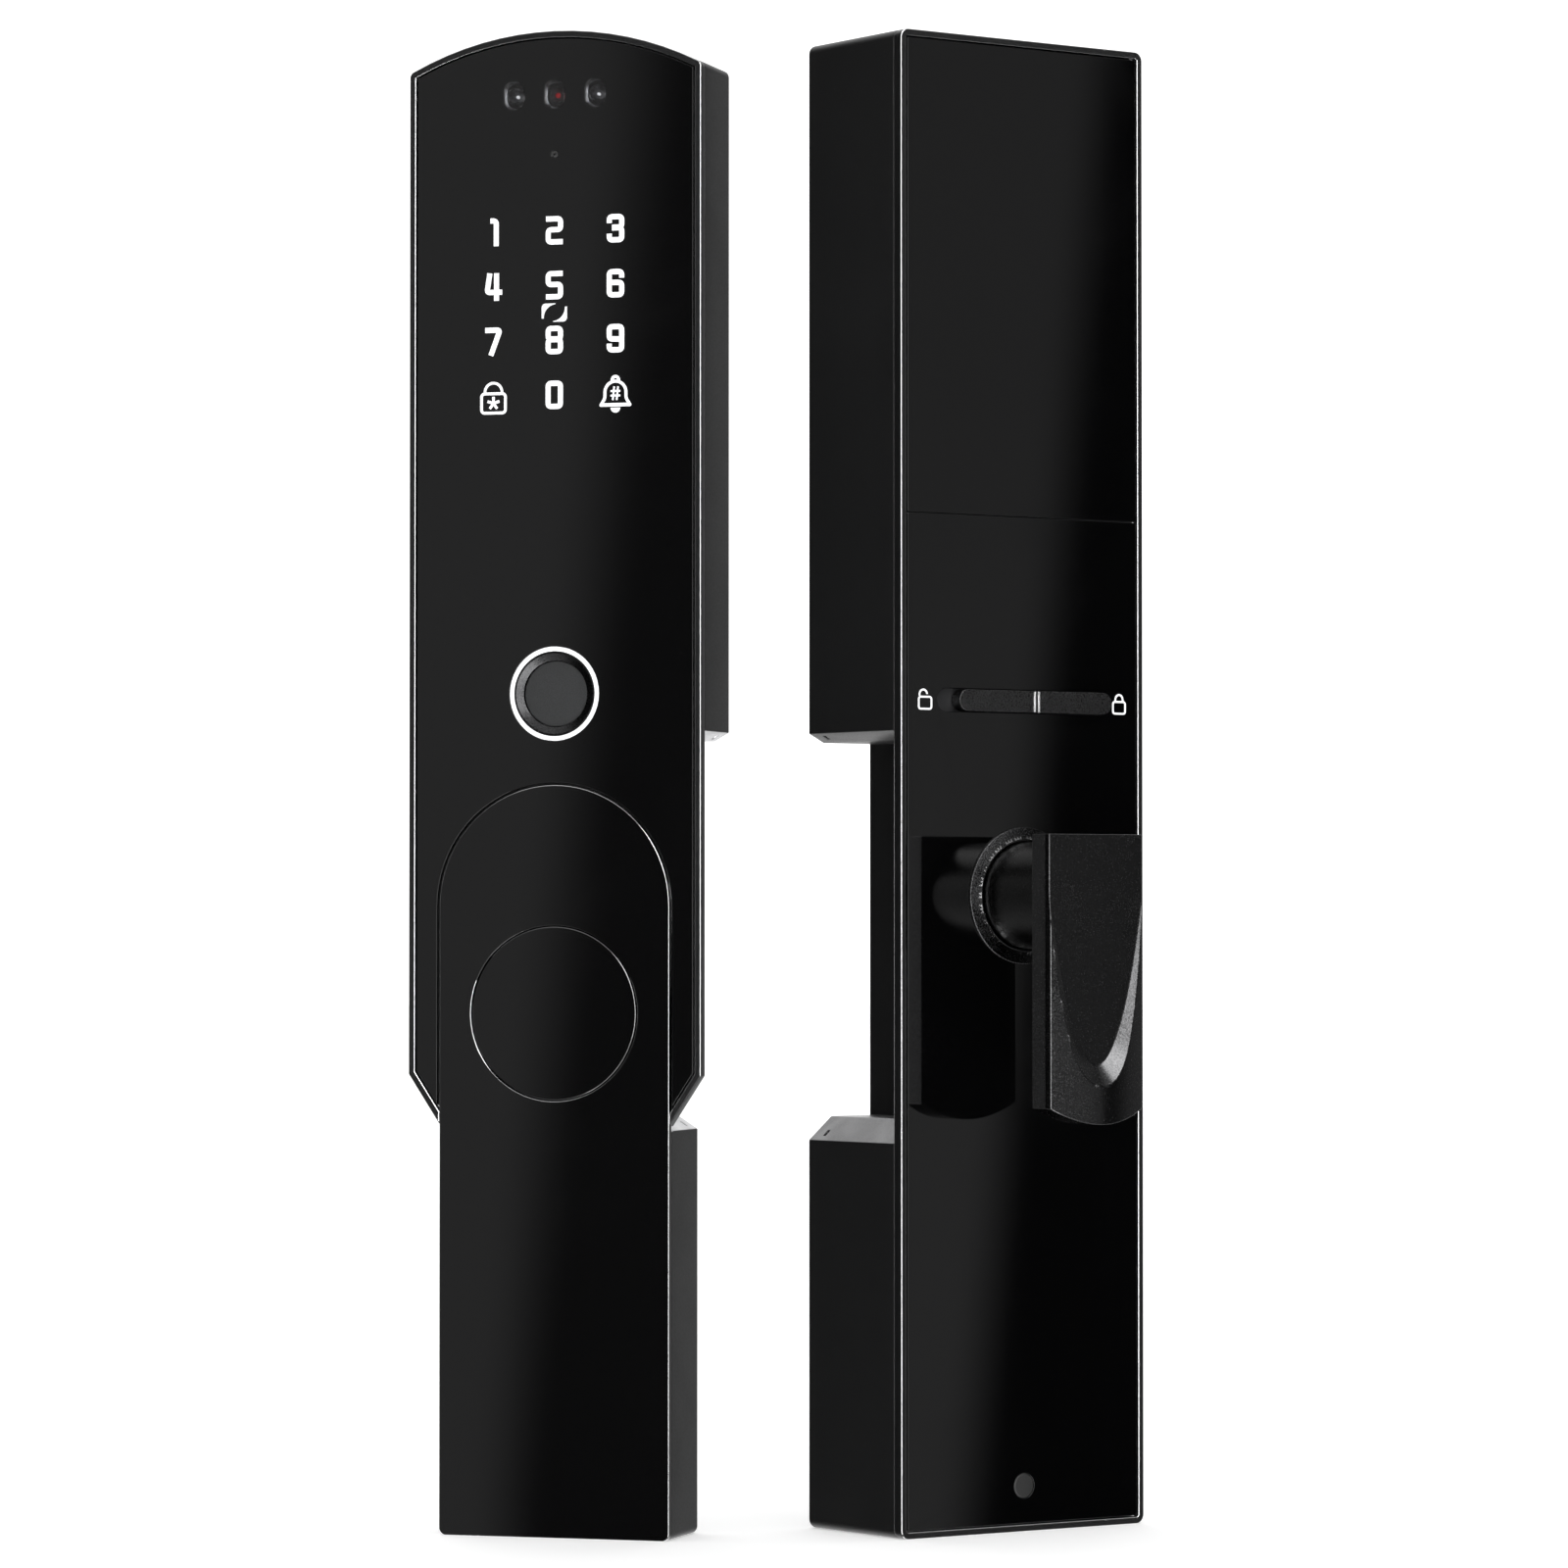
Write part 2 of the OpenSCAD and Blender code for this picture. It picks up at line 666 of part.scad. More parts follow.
module indoor_frame() color(metal_bezel) indoor() difference() {
    union() {
        slab(0, indoor_frame_t) indoor_outline();
        rod([0, plug_z], indoor_frame_t - 0.5, indoor_plate_y - post_gap, 5.5);
        for (at = BOARD_POSTS) rod(at, indoor_frame_t - 0.5, board_y, 3);
    }
    slab(-past, floor_front) indoor_outline(bezel_w);
    slab(0, indoor_frame_t + past) {
        round_rect([-half_w + 3.6, half_w - 3.6], [seam_z + 1.7, unit_h - 3.4], 1);
        slot_outline(0.8);
        translate([0, spindle_h]) circle(9);
    }
    rod([0, plug_z], 0, 10, plug_hole_r);
    rod([0, plug_z], 0, indoor_depth, 2.1);
    for (at = BOARD_POSTS) rod(at, 12, indoor_depth, screw_r + 0.05);
}

module indoor_glass() color(glass_black) indoor() slab(glass_front, glass_back) difference() {
    round_rect([-half_w + glass_in, half_w - glass_in], [glass_in, seam_z - 0.15], 0.4);
    slot_outline();
    translate([0, spindle_h]) circle(15.5);
    translate([0, plug_z]) circle(plug_hole_r);
}

module slot_liner() color([0.02, 0.02, 0.02]) indoor() difference() {
    slab(floor_front, indoor_frame_t) slot_outline(0.7);
    slab(0, slide_floor) slot_outline();
    slab(0, indoor_frame_t + past) stem_slot();
}

module slide_icons() color(light_white) indoor() printed() {
    for (side = [[-33, 1], [32.8, 0]]) translate([side[0], slide_z - 2.8]) {
        padlock_body(4.7, 3.7, 0.9, 0.5);
        translate([side[1] * -0.6, 3.7]) difference() {
            shackle(1.5, 0.4, 0.5);
            if (side[1] == 1) translate([0.5, -1]) square([2, 1.5]);
        }
    }
}

module rose_ring() color([0.2, 0.2, 0.21]) indoor() {
    inner = neck_d / 2 + 0.5;
    turned([0, spindle_h], [[inner, -1.1], [inner + 0.4, -1.3], [rose_d / 2 - 0.2, -0.5],
        [rose_d / 2, -0.3], [rose_d / 2, glass_front], [15.3, glass_front], [15.3, 1.8],
        [inner, 1.8]]);
}

module screw_plug() color([0.35, 0.35, 0.36]) indoor() {
    turned([0, plug_z], [[0, 0.1], [3, 0.1], [3.3, 0.4], [3.3, 5], [0, 5]]);
}

module fixing_screw() color(steel) indoor() difference() {
    union() {
        rod([0, plug_z], 7, 10, 3.2);
        rod([0, plug_z], 10, indoor_plate_y + indoor_plate_t, 2);
    }
    for (turn = [0, 90]) translate([0, 6, plug_z]) rotate([0, turn, 0])
        block([-2, 2], [0, 2.5], [-0.4, 0.4]);
}

module cover_glass() color(glass_black) indoor() slab(glass_front, glass_back) {
    round_rect([-half_w + glass_in, half_w - glass_in], [seam_z + 0.15, unit_h - glass_in], 0.4);
}

module cover_tray() color(plastic_dark) indoor() difference() {
    x = half_w - 3.8;
    z = [seam_z + 1.9, unit_h - 3.6];
    union() {
        slab(glass_back, 4.4) round_rect([-x, x], z, 1);
        for (sx = [-1, 1]) block([sx * 26 - 5, sx * 26 + 5], [4.4, 6], [z[0] + 0.4, z[0] + 2.2]);
        for (sx = [-1, 1]) block([sx * 26 - 5, sx * 26 + 5], [4.4, 6], [z[1] - 2.2, z[1] - 0.4]);
    }
    slab(3.2, 5) round_rect([-x + 2.5, x - 2.5], [z[0] + 2.5, z[1] - 2.5], 1);
}

// ---- indoor unit: housing and what it holds ----

module indoor_housing() color(metal_dark) indoor() {
    difference() {
        slab(indoor_frame_t, indoor_depth) indoor_outline();
        slab(0, indoor_depth + past) difference() {
            indoor_outline(wall);
            grip_notch(indoor_grip, wall);
        }
        slab(0, indoor_depth + past) grip_notch(indoor_grip);
        grip_marks(indoor_depth, [[-half_w + 2.3, 212.5], [-half_w + 2.3, 106.3]]);
    }
    block([-half_w + wall - fit, half_w - wall + fit], [indoor_frame_t, 30],
        [seam_z - 2.6, seam_z - 0.8]);
}

module indoor_board() color(board_green) indoor() {
    slab(board_y, board_y + 1.4) difference() {
        round_rect([-17, 38], [22, 150], 2);
        for (at = BOARD_POSTS) translate(at) circle(1.6);
        for (at = BOLTS) translate(at) circle(6.5);
    }
    block([-4, 14], [board_y + 1.4, board_y + 3.4], [96, 114]);
    block([-12, -2], [board_y + 1.4, board_y + 9], [40, 52]);
    block([20, 32], [board_y + 1.4, board_y + 7], [98, 110]);
    for (i = [0:3]) block([-2 + 5 * i, 1 + 5 * i], [board_y + 1.4, board_y + 2.8], [128, 134]);
}

module board_screws() color(steel) indoor() for (at = BOARD_POSTS) {
    rod(at, 15, board_y + 1.4, screw_r);
    rod(at, board_y + 1.4, board_y + 3, 2.6);
}

module knob_switch() color([0.08, 0.08, 0.08]) indoor() {
    block([17, 27], [21, 27], [spindle_h - 10, spindle_h + 10]);
    block([14.2, 17], [23, 25], [spindle_h - 2, spindle_h + 2]);
}

module spindle_bush() color([0.75, 0.6, 0.35]) indoor() {
    turned([0, spindle_h], [[shaft_r + 0.05, floor_front + 0.05], [8.9, floor_front + 0.05],
        [8.9, indoor_frame_t + 0.05], [12, indoor_frame_t + 0.05], [12, 5.5], [9, 5.5],
        [9, 15], [shaft_r + 0.05, 15]]);
}

module battery_holder() color(plastic_dark) indoor() difference() {
    slab(7, 25) round_rect([-35.5, 35.5], [row_z[0] - 2, row_z[1] + pocket_l + 2], 2);
    for (c = CELLS) block([c[0] - 7.6, c[0] + 7.6], [0, 23.4], [c[1], c[1] + pocket_l]);
}

// One cell's place: z from its pocket's lower end, turned end for end where flip is 1
module in_pocket(c) {
    translate([c[0], cell_y, c[1] + c[2] * pocket_l]) mirror([0, 0, c[2]]) children();
}

module battery_contacts() color(steel) indoor() for (c = CELLS) in_pocket(c) {
    block([-5.5, 5.5], [-5, 5], [0, 0.5]);
    block([-5.5, 5.5], [-5, 5], [pocket_l - 0.5, pocket_l]);
    for (i = [0:3]) translate([0, 0, 0.8 + 0.65 * i]) rotate_extrude($fn = 32)
        translate([4.4 - 0.5 * i, 0]) circle(0.4, $fn = 16);
}

module battery_cells() color([0.75, 0.5, 0.2]) indoor() for (c = CELLS) in_pocket(c) {
    foot = pocket_l - 0.5 - cell_l;
    translate([0, 0, foot]) rotate_extrude() polygon([[0, 0], [cell_r - 0.5, 0],
        [cell_r, 0.5], [cell_r, cell_l - 1.8], [cell_r - 0.5, cell_l - 1.3],
        [2.7, cell_l - 1.3], [2.7, cell_l - 0.2], [2.5, cell_l], [0, cell_l]]);
}

module indoor_plate() color(steel) indoor() {
    slab(indoor_plate_y, indoor_plate_y + indoor_plate_t) difference() {
        indoor_outline(plate_in);
        grip_notch(indoor_grip, plate_in);
        for (at = BOLTS) translate(at) circle(3);
        translate([0, spindle_h]) circle(9);
        translate([0, plug_z]) circle(2.05);
        cable_slot();
    }
    for (sx = [-1, 1]) block([sx * 24 - 6, sx * 24 + 6], [indoor_plate_y - 4, indoor_plate_y],
        [unit_h - plate_in - 1.8, unit_h - plate_in]);
}

module indoor_gasket() color([0.05, 0.05, 0.05]) indoor() {
    slab(indoor_depth - gasket_t, indoor_depth) difference() {
        indoor_outline(plate_in);
        grip_notch(indoor_grip, plate_in);
        for (at = BOLTS) translate(at) circle(4);
        translate([0, spindle_h]) circle(10);
        translate([0, plug_z]) circle(2.6);
        cable_slot(1);
    }
}

// ---- indoor unit: privacy slide ----

module slide_bar() color([0.25, 0.25, 0.26]) indoor() difference() {
    x = [slide_x - slide_l / 2, slide_x + slide_l / 2];
    slab(-1.5, slide_floor - 0.2) round_rect(x, [slide_z - slide_r, slide_z + slide_r], slide_r - 0.01);
    for (sx = [-0.7, 0.7]) block([slide_x + sx - 0.3, slide_x + sx + 0.3], [-2, -1.1],
        [slide_z - 4, slide_z + 4]);
}

module slide_carrier() color(plastic_dark) indoor() {
    block([slide_x - stem_w / 2, slide_x + stem_w / 2], [slide_floor - 0.2, 5],
        [slide_z - stem_h / 2, slide_z + stem_h / 2]);
    block([slide_x - 12, slide_x + 12], [5, 7], [slide_z - 5, slide_z + 5]);
}

// ---- indoor unit: thumb turn ----

module knob_neck() color([0.14, 0.14, 0.15]) indoor() difference() {
    turned([0, spindle_h], [[0, -grip_gap], [neck_d / 2, -grip_gap], [neck_d / 2, 1.2], [0, 1.2]]);
    rod([0, spindle_h], -20, 2, shaft_r + 0.02);
    rod([0, spindle_h], -grip_gap - past, 2, 2.1);
}

// Outline of the scoop's flat bed, set outwards by a distance: a parabola that closes slightly
// towards its open top, its foot at z = 0
function scoop_line(out, half = 17.6, open = 6.25, close = 0.02, n = 14) =
    [for (i = [-n:n]) let (
        x = half * i / n,
        h = (open - sqrt(open * open - 4 * close * x * x)) / (2 * close),
        slope = 2 * x / (open - 2 * close * h),
        k = out / sqrt(1 + slope * slope)
    ) [x + slope * k, h - k]];

// The grip before its scoop: straight sides, an arched foot, a crowned front, bevelled edges
module grip_blank(front) {
    foot_rise = 4.5;
    foot_r = (pow(grip_w / 2, 2) + foot_rise * foot_rise) / (2 * foot_rise);
    bevel = [0.5, 1.4];
    crowned = grip_w / 2 - bevel[0];
    crown_r = (crowned * crowned + grip_crown * grip_crown) / (2 * grip_crown);
    side = [grip_w / 2, front + grip_crown + bevel[1]];
    ahead = side - bevel * 3.2;
    intersection() {
        slab(front - 1, -grip_gap) union() {
            intersection() {
                translate([0, foot_r - grip_drop]) circle(foot_r, $fn = 160);
                translate([-grip_w, -grip_drop - 1]) square([2 * grip_w, foot_rise + 2]);
            }
            translate([-grip_w / 2, foot_rise - grip_drop])
                square([grip_w, grip_drop + grip_top - foot_rise]);
        }
        translate([0, 0, -grip_drop - 1]) linear_extrude(grip_drop + grip_top + 2) intersection() {
            polygon([[-side[0], -grip_gap], [-side[0], side[1]], [-ahead[0], ahead[1]],
                [ahead[0], ahead[1]], [side[0], side[1]], [side[0], -grip_gap]]);
            translate([0, front + crown_r]) circle(crown_r, $fn = 160);
        }
    }
}

module knob_grip() color([0.2, 0.2, 0.21]) indoor() translate([0, 0, spindle_h]) {
    front = -grip_gap - grip_t;
    bed = front + 2.9;
    difference() {
        grip_blank(front);
        translate([0, 0, 15.7 - grip_drop]) hull() {
            slab(bed - 3.6, bed - 3.5) polygon(scoop_line(6.9));
            slab(bed - 0.1, bed) polygon(scoop_line(0));
        }
        rod([0, 0], -grip_gap - 3, past, 2.1);
    }
}

module knob_stud() color(steel) indoor() {
    rod([0, spindle_h], -grip_gap - 2.9, -13, 2);
}

module knob_spindle() color(steel) indoor() {
    difference() {
        rod([0, spindle_h], -19.9, 19, shaft_r);
        pipe([0, spindle_h], 15.3, 16.5, shaft_r + 1, shaft_r - 0.7);
        rod([0, spindle_h], -21, -12.9, 2);
    }
    block([-square_w / 2, square_w / 2], [19, indoor_depth + spindle_l],
        [spindle_h - square_w / 2, spindle_h + square_w / 2]);
}

module spindle_circlip() color([0.3, 0.3, 0.3]) indoor() difference() {
    pipe([0, spindle_h], 15.4, 16.4, 8.4, shaft_r - 0.65);
    block([-2, 2], [15, 17], [spindle_h - 10, spindle_h]);
}

module knob_cam() color([0.85, 0.85, 0.8]) indoor() difference() {
    union() {
        rod([0, spindle_h], 20, 25, 9);
        block([0, 13.8], [20, 25], [spindle_h - 3, spindle_h + 3]);
    }
    block([-square_w / 2 - 0.05, square_w / 2 + 0.05], [19, 26],
        [spindle_h - square_w / 2 - 0.05, spindle_h + square_w / 2 + 0.05]);
}

outdoor_frame();
outdoor_glass();
keypad_digits();
keypad_icons();
card_mark();
sensor_windows();
infrared_lamps();
camera_lens();
microphone_port();
light_guide();
keypad_board();
fingerprint_ring();
fingerprint_bezel();
fingerprint_sensor();
fingerprint_module();
tongue_panel();
outdoor_housing();
outdoor_board();
speaker();
power_port();
outdoor_plate();
outdoor_plate_screws();
outdoor_gasket();
key_cylinder();
key_cover_magnets();
key_plug();
key_tailpiece();
key_cover();
indoor_frame();
indoor_glass();
slot_liner();
slide_icons();
rose_ring();
screw_plug();
fixing_screw();
indoor_housing();
indoor_board();
board_screws();
knob_switch();
spindle_bush();
battery_holder();
battery_contacts();
battery_cells();
indoor_plate();
indoor_gasket();
cover_glass();
cover_tray();
slide_bar();
slide_carrier();
knob_neck();
knob_grip();
knob_stud();
knob_spindle();
spindle_circlip();
knob_cam();
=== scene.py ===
"""Looks of a keypad smart lock in two units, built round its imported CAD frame.

Each unit has its own axes: x across from its centreline, y back from its front plane and z up
from its base. New pieces are modelled in those axes and then put in the unit's place.
"""

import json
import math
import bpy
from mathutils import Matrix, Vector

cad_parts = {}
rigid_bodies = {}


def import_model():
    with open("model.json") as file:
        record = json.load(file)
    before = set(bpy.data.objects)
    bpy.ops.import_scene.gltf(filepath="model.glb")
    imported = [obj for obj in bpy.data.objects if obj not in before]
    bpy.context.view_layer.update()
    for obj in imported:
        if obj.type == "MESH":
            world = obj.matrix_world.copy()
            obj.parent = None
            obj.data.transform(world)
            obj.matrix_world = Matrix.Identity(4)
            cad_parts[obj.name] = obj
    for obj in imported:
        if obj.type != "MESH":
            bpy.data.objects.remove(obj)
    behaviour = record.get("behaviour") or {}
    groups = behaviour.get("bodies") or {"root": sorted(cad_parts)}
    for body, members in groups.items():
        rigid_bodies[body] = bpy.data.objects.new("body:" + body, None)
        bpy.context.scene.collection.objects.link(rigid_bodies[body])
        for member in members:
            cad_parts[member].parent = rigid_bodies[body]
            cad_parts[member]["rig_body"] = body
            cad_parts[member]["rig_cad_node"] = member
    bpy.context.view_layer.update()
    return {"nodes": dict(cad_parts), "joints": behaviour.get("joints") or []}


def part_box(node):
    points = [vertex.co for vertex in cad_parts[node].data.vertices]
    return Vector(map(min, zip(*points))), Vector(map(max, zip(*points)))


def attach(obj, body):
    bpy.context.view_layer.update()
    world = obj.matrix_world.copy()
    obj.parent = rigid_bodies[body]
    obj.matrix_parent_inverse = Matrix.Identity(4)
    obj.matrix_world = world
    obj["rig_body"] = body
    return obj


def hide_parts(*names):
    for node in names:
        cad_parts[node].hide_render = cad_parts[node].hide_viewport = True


bl_info = {
    "name": "Keypad Lock Finisher",
    "version": (1, 0, 0),
    "blender": (4, 5, 0),
    "location": "View3D > Sidebar > Keypad Lock",
    "description": "Finishes the pieces of a two-unit keypad door lock and sets up its studio",
    "category": "Object",
}

from functools import cache

import bmesh
import bpy
from bpy.props import FloatProperty, FloatVectorProperty, PointerProperty
from mathutils import Matrix, Vector

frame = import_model()

MM = 0.001
HAIR_EDGE = 0.06 * MM
STREAK_LENGTH = 14.0
JOINTS = {joint["name"]: joint for joint in frame["joints"]}
TURN_OUT = Vector(JOINTS["thumb_turn"]["axis"]).normalized()
TURN_AT = Vector(JOINTS["thumb_turn"]["pos_m"])
BASE_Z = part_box("indoor_housing")[0].z
SPINDLE_UP = TURN_AT.z - BASE_Z
FRONT_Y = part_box("outdoor_frame")[0].y
OUTDOOR = Matrix.Translation((0, FRONT_Y, BASE_Z))
INDOOR = Matrix.Translation(TURN_AT - Vector((0, 0, SPINDLE_UP))) @ Matrix((
    (-TURN_OUT.y, -TURN_OUT.x, 0, 0),
    (TURN_OUT.x, -TURN_OUT.y, 0, 0),
    (0, 0, 1, 0),
    (0, 0, 0, 1),
))


# ---- settings ----


def colour_setting(name, description, default):
    return FloatVectorProperty(
        name=name, description=description, subtype="COLOR", size=3, min=0, max=1, default=default
    )


def length_setting(name, description, default):
    """A length, kept in metres and given here in millimetres"""
    return FloatProperty(
        name=name, description=description, subtype="DISTANCE", unit="LENGTH", default=default * MM
    )


class StudioSettings(bpy.types.PropertyGroup):
    """Camera, floor and light"""

    camera_at: FloatVectorProperty(
        name="Camera", description="Where the camera stands", subtype="TRANSLATION",
        unit="LENGTH", size=3, default=(0.5504, -1.5912, -0.0096),
    )
    camera_turn: FloatProperty(
        name="Turn", description="Camera's turn to the left", subtype="ANGLE",
        default=math.radians(17.25),
    )
    camera_tilt: FloatProperty(
        name="Tilt", description="Camera's tilt upwards", subtype="ANGLE",
        default=math.radians(1.35),
    )
    lens: FloatProperty(name="Lens", description="Focal length in mm", default=143.7)
    sky: FloatProperty(name="Sky", description="Brightness behind and above", default=1.5)
    right_share: FloatProperty(name="Right", description="Share of it at the right", default=0.16)
    box: FloatProperty(name="Softbox", description="Brightness of the tall softbox", default=10)
    box_way: FloatVectorProperty(
        name="Softbox way", description="Direction of the softbox", subtype="DIRECTION",
        size=3, default=(0.47, -0.883, 0.0),
    )
    high_box_way: FloatVectorProperty(
        name="High softbox way", description="Direction of the high softbox",
        subtype="DIRECTION", size=3, default=(0.704, -0.458, 0.543),
    )
    shade: FloatProperty(name="Shade", description="Brightness in front", default=0.03)
    card: FloatProperty(name="Cards", description="Brightness of the two cards", default=0.42)
    floor_glow: FloatProperty(name="Floor glow", description="Light of the floor", default=0.45)


class FinishSettings(bpy.types.PropertyGroup):
    """Colours of the lock's finishes and the sizes of their detail"""

    glass: colour_setting("Glass", "Black of the front glasses", (0.0022, 0.0022, 0.0024))
    coat: colour_setting("Coat", "Black of the housings and frames", (0.0065, 0.0065, 0.0068))
    print_white: colour_setting("Print", "Lit digits and signs", (0.95, 0.96, 0.97))
    sensor: colour_setting("Sensor", "Fingerprint sensor", (0.03, 0.031, 0.032))
    steel: colour_setting("Steel", "Plates and screws", (0.5, 0.5, 0.49))
    brass: colour_setting("Brass", "Key cylinder", (0.62, 0.5, 0.3))
    wrap: colour_setting("Wrap", "Battery wrap", (0.02, 0.021, 0.024))
    band: colour_setting("Band", "Battery band", (0.62, 0.3, 0.1))
    grain: length_setting("Grain", "Size of the coat's grain", 0.42)
    metal_edge: length_setting("Metal edge", "Radius of coated metal edges", 0.28)
    glass_edge: length_setting("Glass edge", "Radius of glass edges", 0.12)
    fine_edge: length_setting("Fine edge", "Radius of small pieces' edges", 0.1)


class ShapeSettings(bpy.types.PropertyGroup):
    """Sizes of the pieces that are modelled anew"""

    grip_half: length_setting("Grip half width", "Half the width of the grip", 16)
    grip_thick: length_setting("Grip thickness", "Thickness of the grip in its middle", 9.9)
    grip_stand: length_setting("Grip stand-off", "Distance of the grip from the front", 24)
    grip_crown: length_setting("Grip crown", "How far the grip's middle stands out", 2.6)
    grip_sag: length_setting("Grip foot", "Rise of the grip's curved foot at its sides", 4.5)
    scoop_foot: length_setting("Scoop foot", "Height of the scoop's foot above the grip's", 15.7)
    scoop_deep: length_setting("Scoop depth", "Depth of the scoop's bed at its foot", 2.9)
    cell_pitch: length_setting("Cell pitch", "Distance between the cells' axes", 16.6)
    cell_back: length_setting("Cell depth", "Distance of the cells' axes from the front", 15.6)
    pocket: length_setting("Pocket length", "Length of a cell's pocket", 54.4)
    row_pitch: length_setting("Row pitch", "Distance between the two rows of cells", 59.6)


def studio():
    return bpy.context.scene.lock_studio


def finish():
    return bpy.context.scene.lock_finish


def shape():
    return bpy.context.scene.lock_shape


# ---- node helpers ----


def add_node(tree, kind, inputs=None, **options):
    """A node with its options set and its inputs given values or linked"""
    made = tree.nodes.new(kind)
    for name, value in options.items():
        setattr(made, name, value)
    for socket, value in (inputs or {}).items():
        if isinstance(value, bpy.types.NodeSocket):
            tree.links.new(value, made.inputs[socket])
        else:
            made.inputs[socket].default_value = value
    return made


def object_place(tree):
    return add_node(tree, "ShaderNodeTexCoord").outputs["Object"]


def noise_at(tree, at, **inputs):
    """Noise from 0 to 1 at the given coordinates"""
    return add_node(tree, "ShaderNodeTexNoise", {"Vector": at, **inputs}).outputs[0]


def emboss(tree, into, height, strength, distance):
    """Raises a surface by a height"""
    raised = add_node(tree, "ShaderNodeBump", {
        "Height": height, "Strength": strength, "Distance": distance,
    })
    tree.links.new(raised.outputs[0], into["Normal"])


def toned(colour, factor):
    return tuple(min(1.0, factor * part) for part in colour)


def maths(tree, operation, *values, clamp=False):
    inputs = dict(enumerate(values))
    return add_node(tree, "ShaderNodeMath", inputs, operation=operation, use_clamp=clamp).outputs[0]


def vector_maths(tree, operation, *values):
    return add_node(tree, "ShaderNodeVectorMath", dict(enumerate(values)), operation=operation)


def ramp(tree, value, low, high, to_low=0.0, to_high=1.0, smooth=False):
    """Value from low..high carried to to_low..to_high"""
    inputs = {
        "Value": value, "From Min": low, "From Max": high, "To Min": to_low, "To Max": to_high,
    }
    kind = "SMOOTHSTEP" if smooth else "LINEAR"
    return add_node(tree, "ShaderNodeMapRange", inputs, interpolation_type=kind).outputs[0]


def blend_colours(tree, amount, first, second, blend="MIX"):
    mixed = add_node(tree, "ShaderNodeMix", data_type="RGBA", blend_type=blend)
    for index, value in ((0, amount), (6, first), (7, second)):
        if isinstance(value, bpy.types.NodeSocket):
            tree.links.new(value, mixed.inputs[index])
        elif index == 0:
            mixed.inputs[index].default_value = value
        else:
            mixed.inputs[index].default_value = (*value, 1)
    return mixed.outputs[2]


def new_group(name, ins, outs):
    """An empty shader group with number sockets: ins as {name: default}, outs as names"""
    tree = bpy.data.node_groups.new(name, "ShaderNodeTree")
    for socket, default in ins.items():
        made = tree.interface.new_socket(name=socket, in_out="INPUT", socket_type="NodeSocketFloat")
        made.default_value = default
    for socket in outs:
        tree.interface.new_socket(name=socket, in_out="OUTPUT", socket_type="NodeSocketFloat")
    return tree, tree.nodes.new("NodeGroupInput").outputs, tree.nodes.new("NodeGroupOutput").inputs


def place_group(tree, group, **inputs):
    made = tree.nodes.new("ShaderNodeGroup")
    made.node_tree = group
    for name, value in inputs.items():
        made.inputs[name.replace("_", " ").capitalize()].default_value = value
    return made.outputs


# ---- shared effects ----


@cache
def grain_group():
    """Fine grain of a sprayed or blasted surface: its shade from 0 to 1 and its height"""
    tree, given, out = new_group(
        "Spray grain", {"Size": 0.0004, "Contrast": 1.0}, ["Shade", "Height"]
    )
    at = object_place(tree)
    scale = maths(tree, "DIVIDE", 1.0, given["Size"])
    noise = noise_at(tree, at, Scale=scale, Detail=2.0, Roughness=0.65)
    centred = maths(tree, "SUBTRACT", noise, 0.5)
    spread = maths(tree, "MULTIPLY", centred, given["Contrast"])
    tree.links.new(maths(tree, "ADD", spread, 0.5, clamp=True), out["Shade"])
    tree.links.new(noise, out["Height"])
    return tree


@cache
def smudge_group():
    """Soft uneven film of handling, from 0 to 1"""
    tree, given, out = new_group("Handling film", {"Size": 0.02, "Cover": 0.5}, ["Film"])
    at = object_place(tree)
    scale = maths(tree, "DIVIDE", 1.0, given["Size"])
    noise = noise_at(tree, at, Scale=scale, Detail=5.0, Roughness=0.55, Distortion=0.6)
    start = maths(tree, "SUBTRACT", 0.85, given["Cover"])
    end = maths(tree, "ADD", start, 0.35)
    tree.links.new(ramp(tree, noise, start, end, smooth=True), out["Film"])
    return tree


@cache
def dust_group():
    """Sparse dust specks, more of them on faces that look up"""
    tree, given, out = new_group("Dust specks", {"Size": 0.0015, "Amount": 0.5}, ["Dust"])
    at = object_place(tree)
    scale = maths(tree, "DIVIDE", 1.0, given["Size"])
    cells = add_node(tree, "ShaderNodeTexVoronoi", {"Vector": at, "Scale": scale})
    speck = ramp(tree, cells.outputs["Distance"], 0.02, 0.12, 1.0, 0.0)
    pick = add_node(tree, "ShaderNodeSeparateColor", {0: cells.outputs["Color"]}).outputs[0]
    chosen = maths(tree, "GREATER_THAN", pick, 0.8)
    up = add_node(tree, "ShaderNodeSeparateXYZ", {
        0: add_node(tree, "ShaderNodeNewGeometry").outputs["Normal"],
    }).outputs["Z"]
    settled = ramp(tree, up, -0.2, 1.0, 0.25, 1.0)
    lying = maths(tree, "MULTIPLY", maths(tree, "MULTIPLY", speck, chosen), settled)
    tree.links.new(maths(tree, "MULTIPLY", lying, given["Amount"], clamp=True), out["Dust"])
    return tree


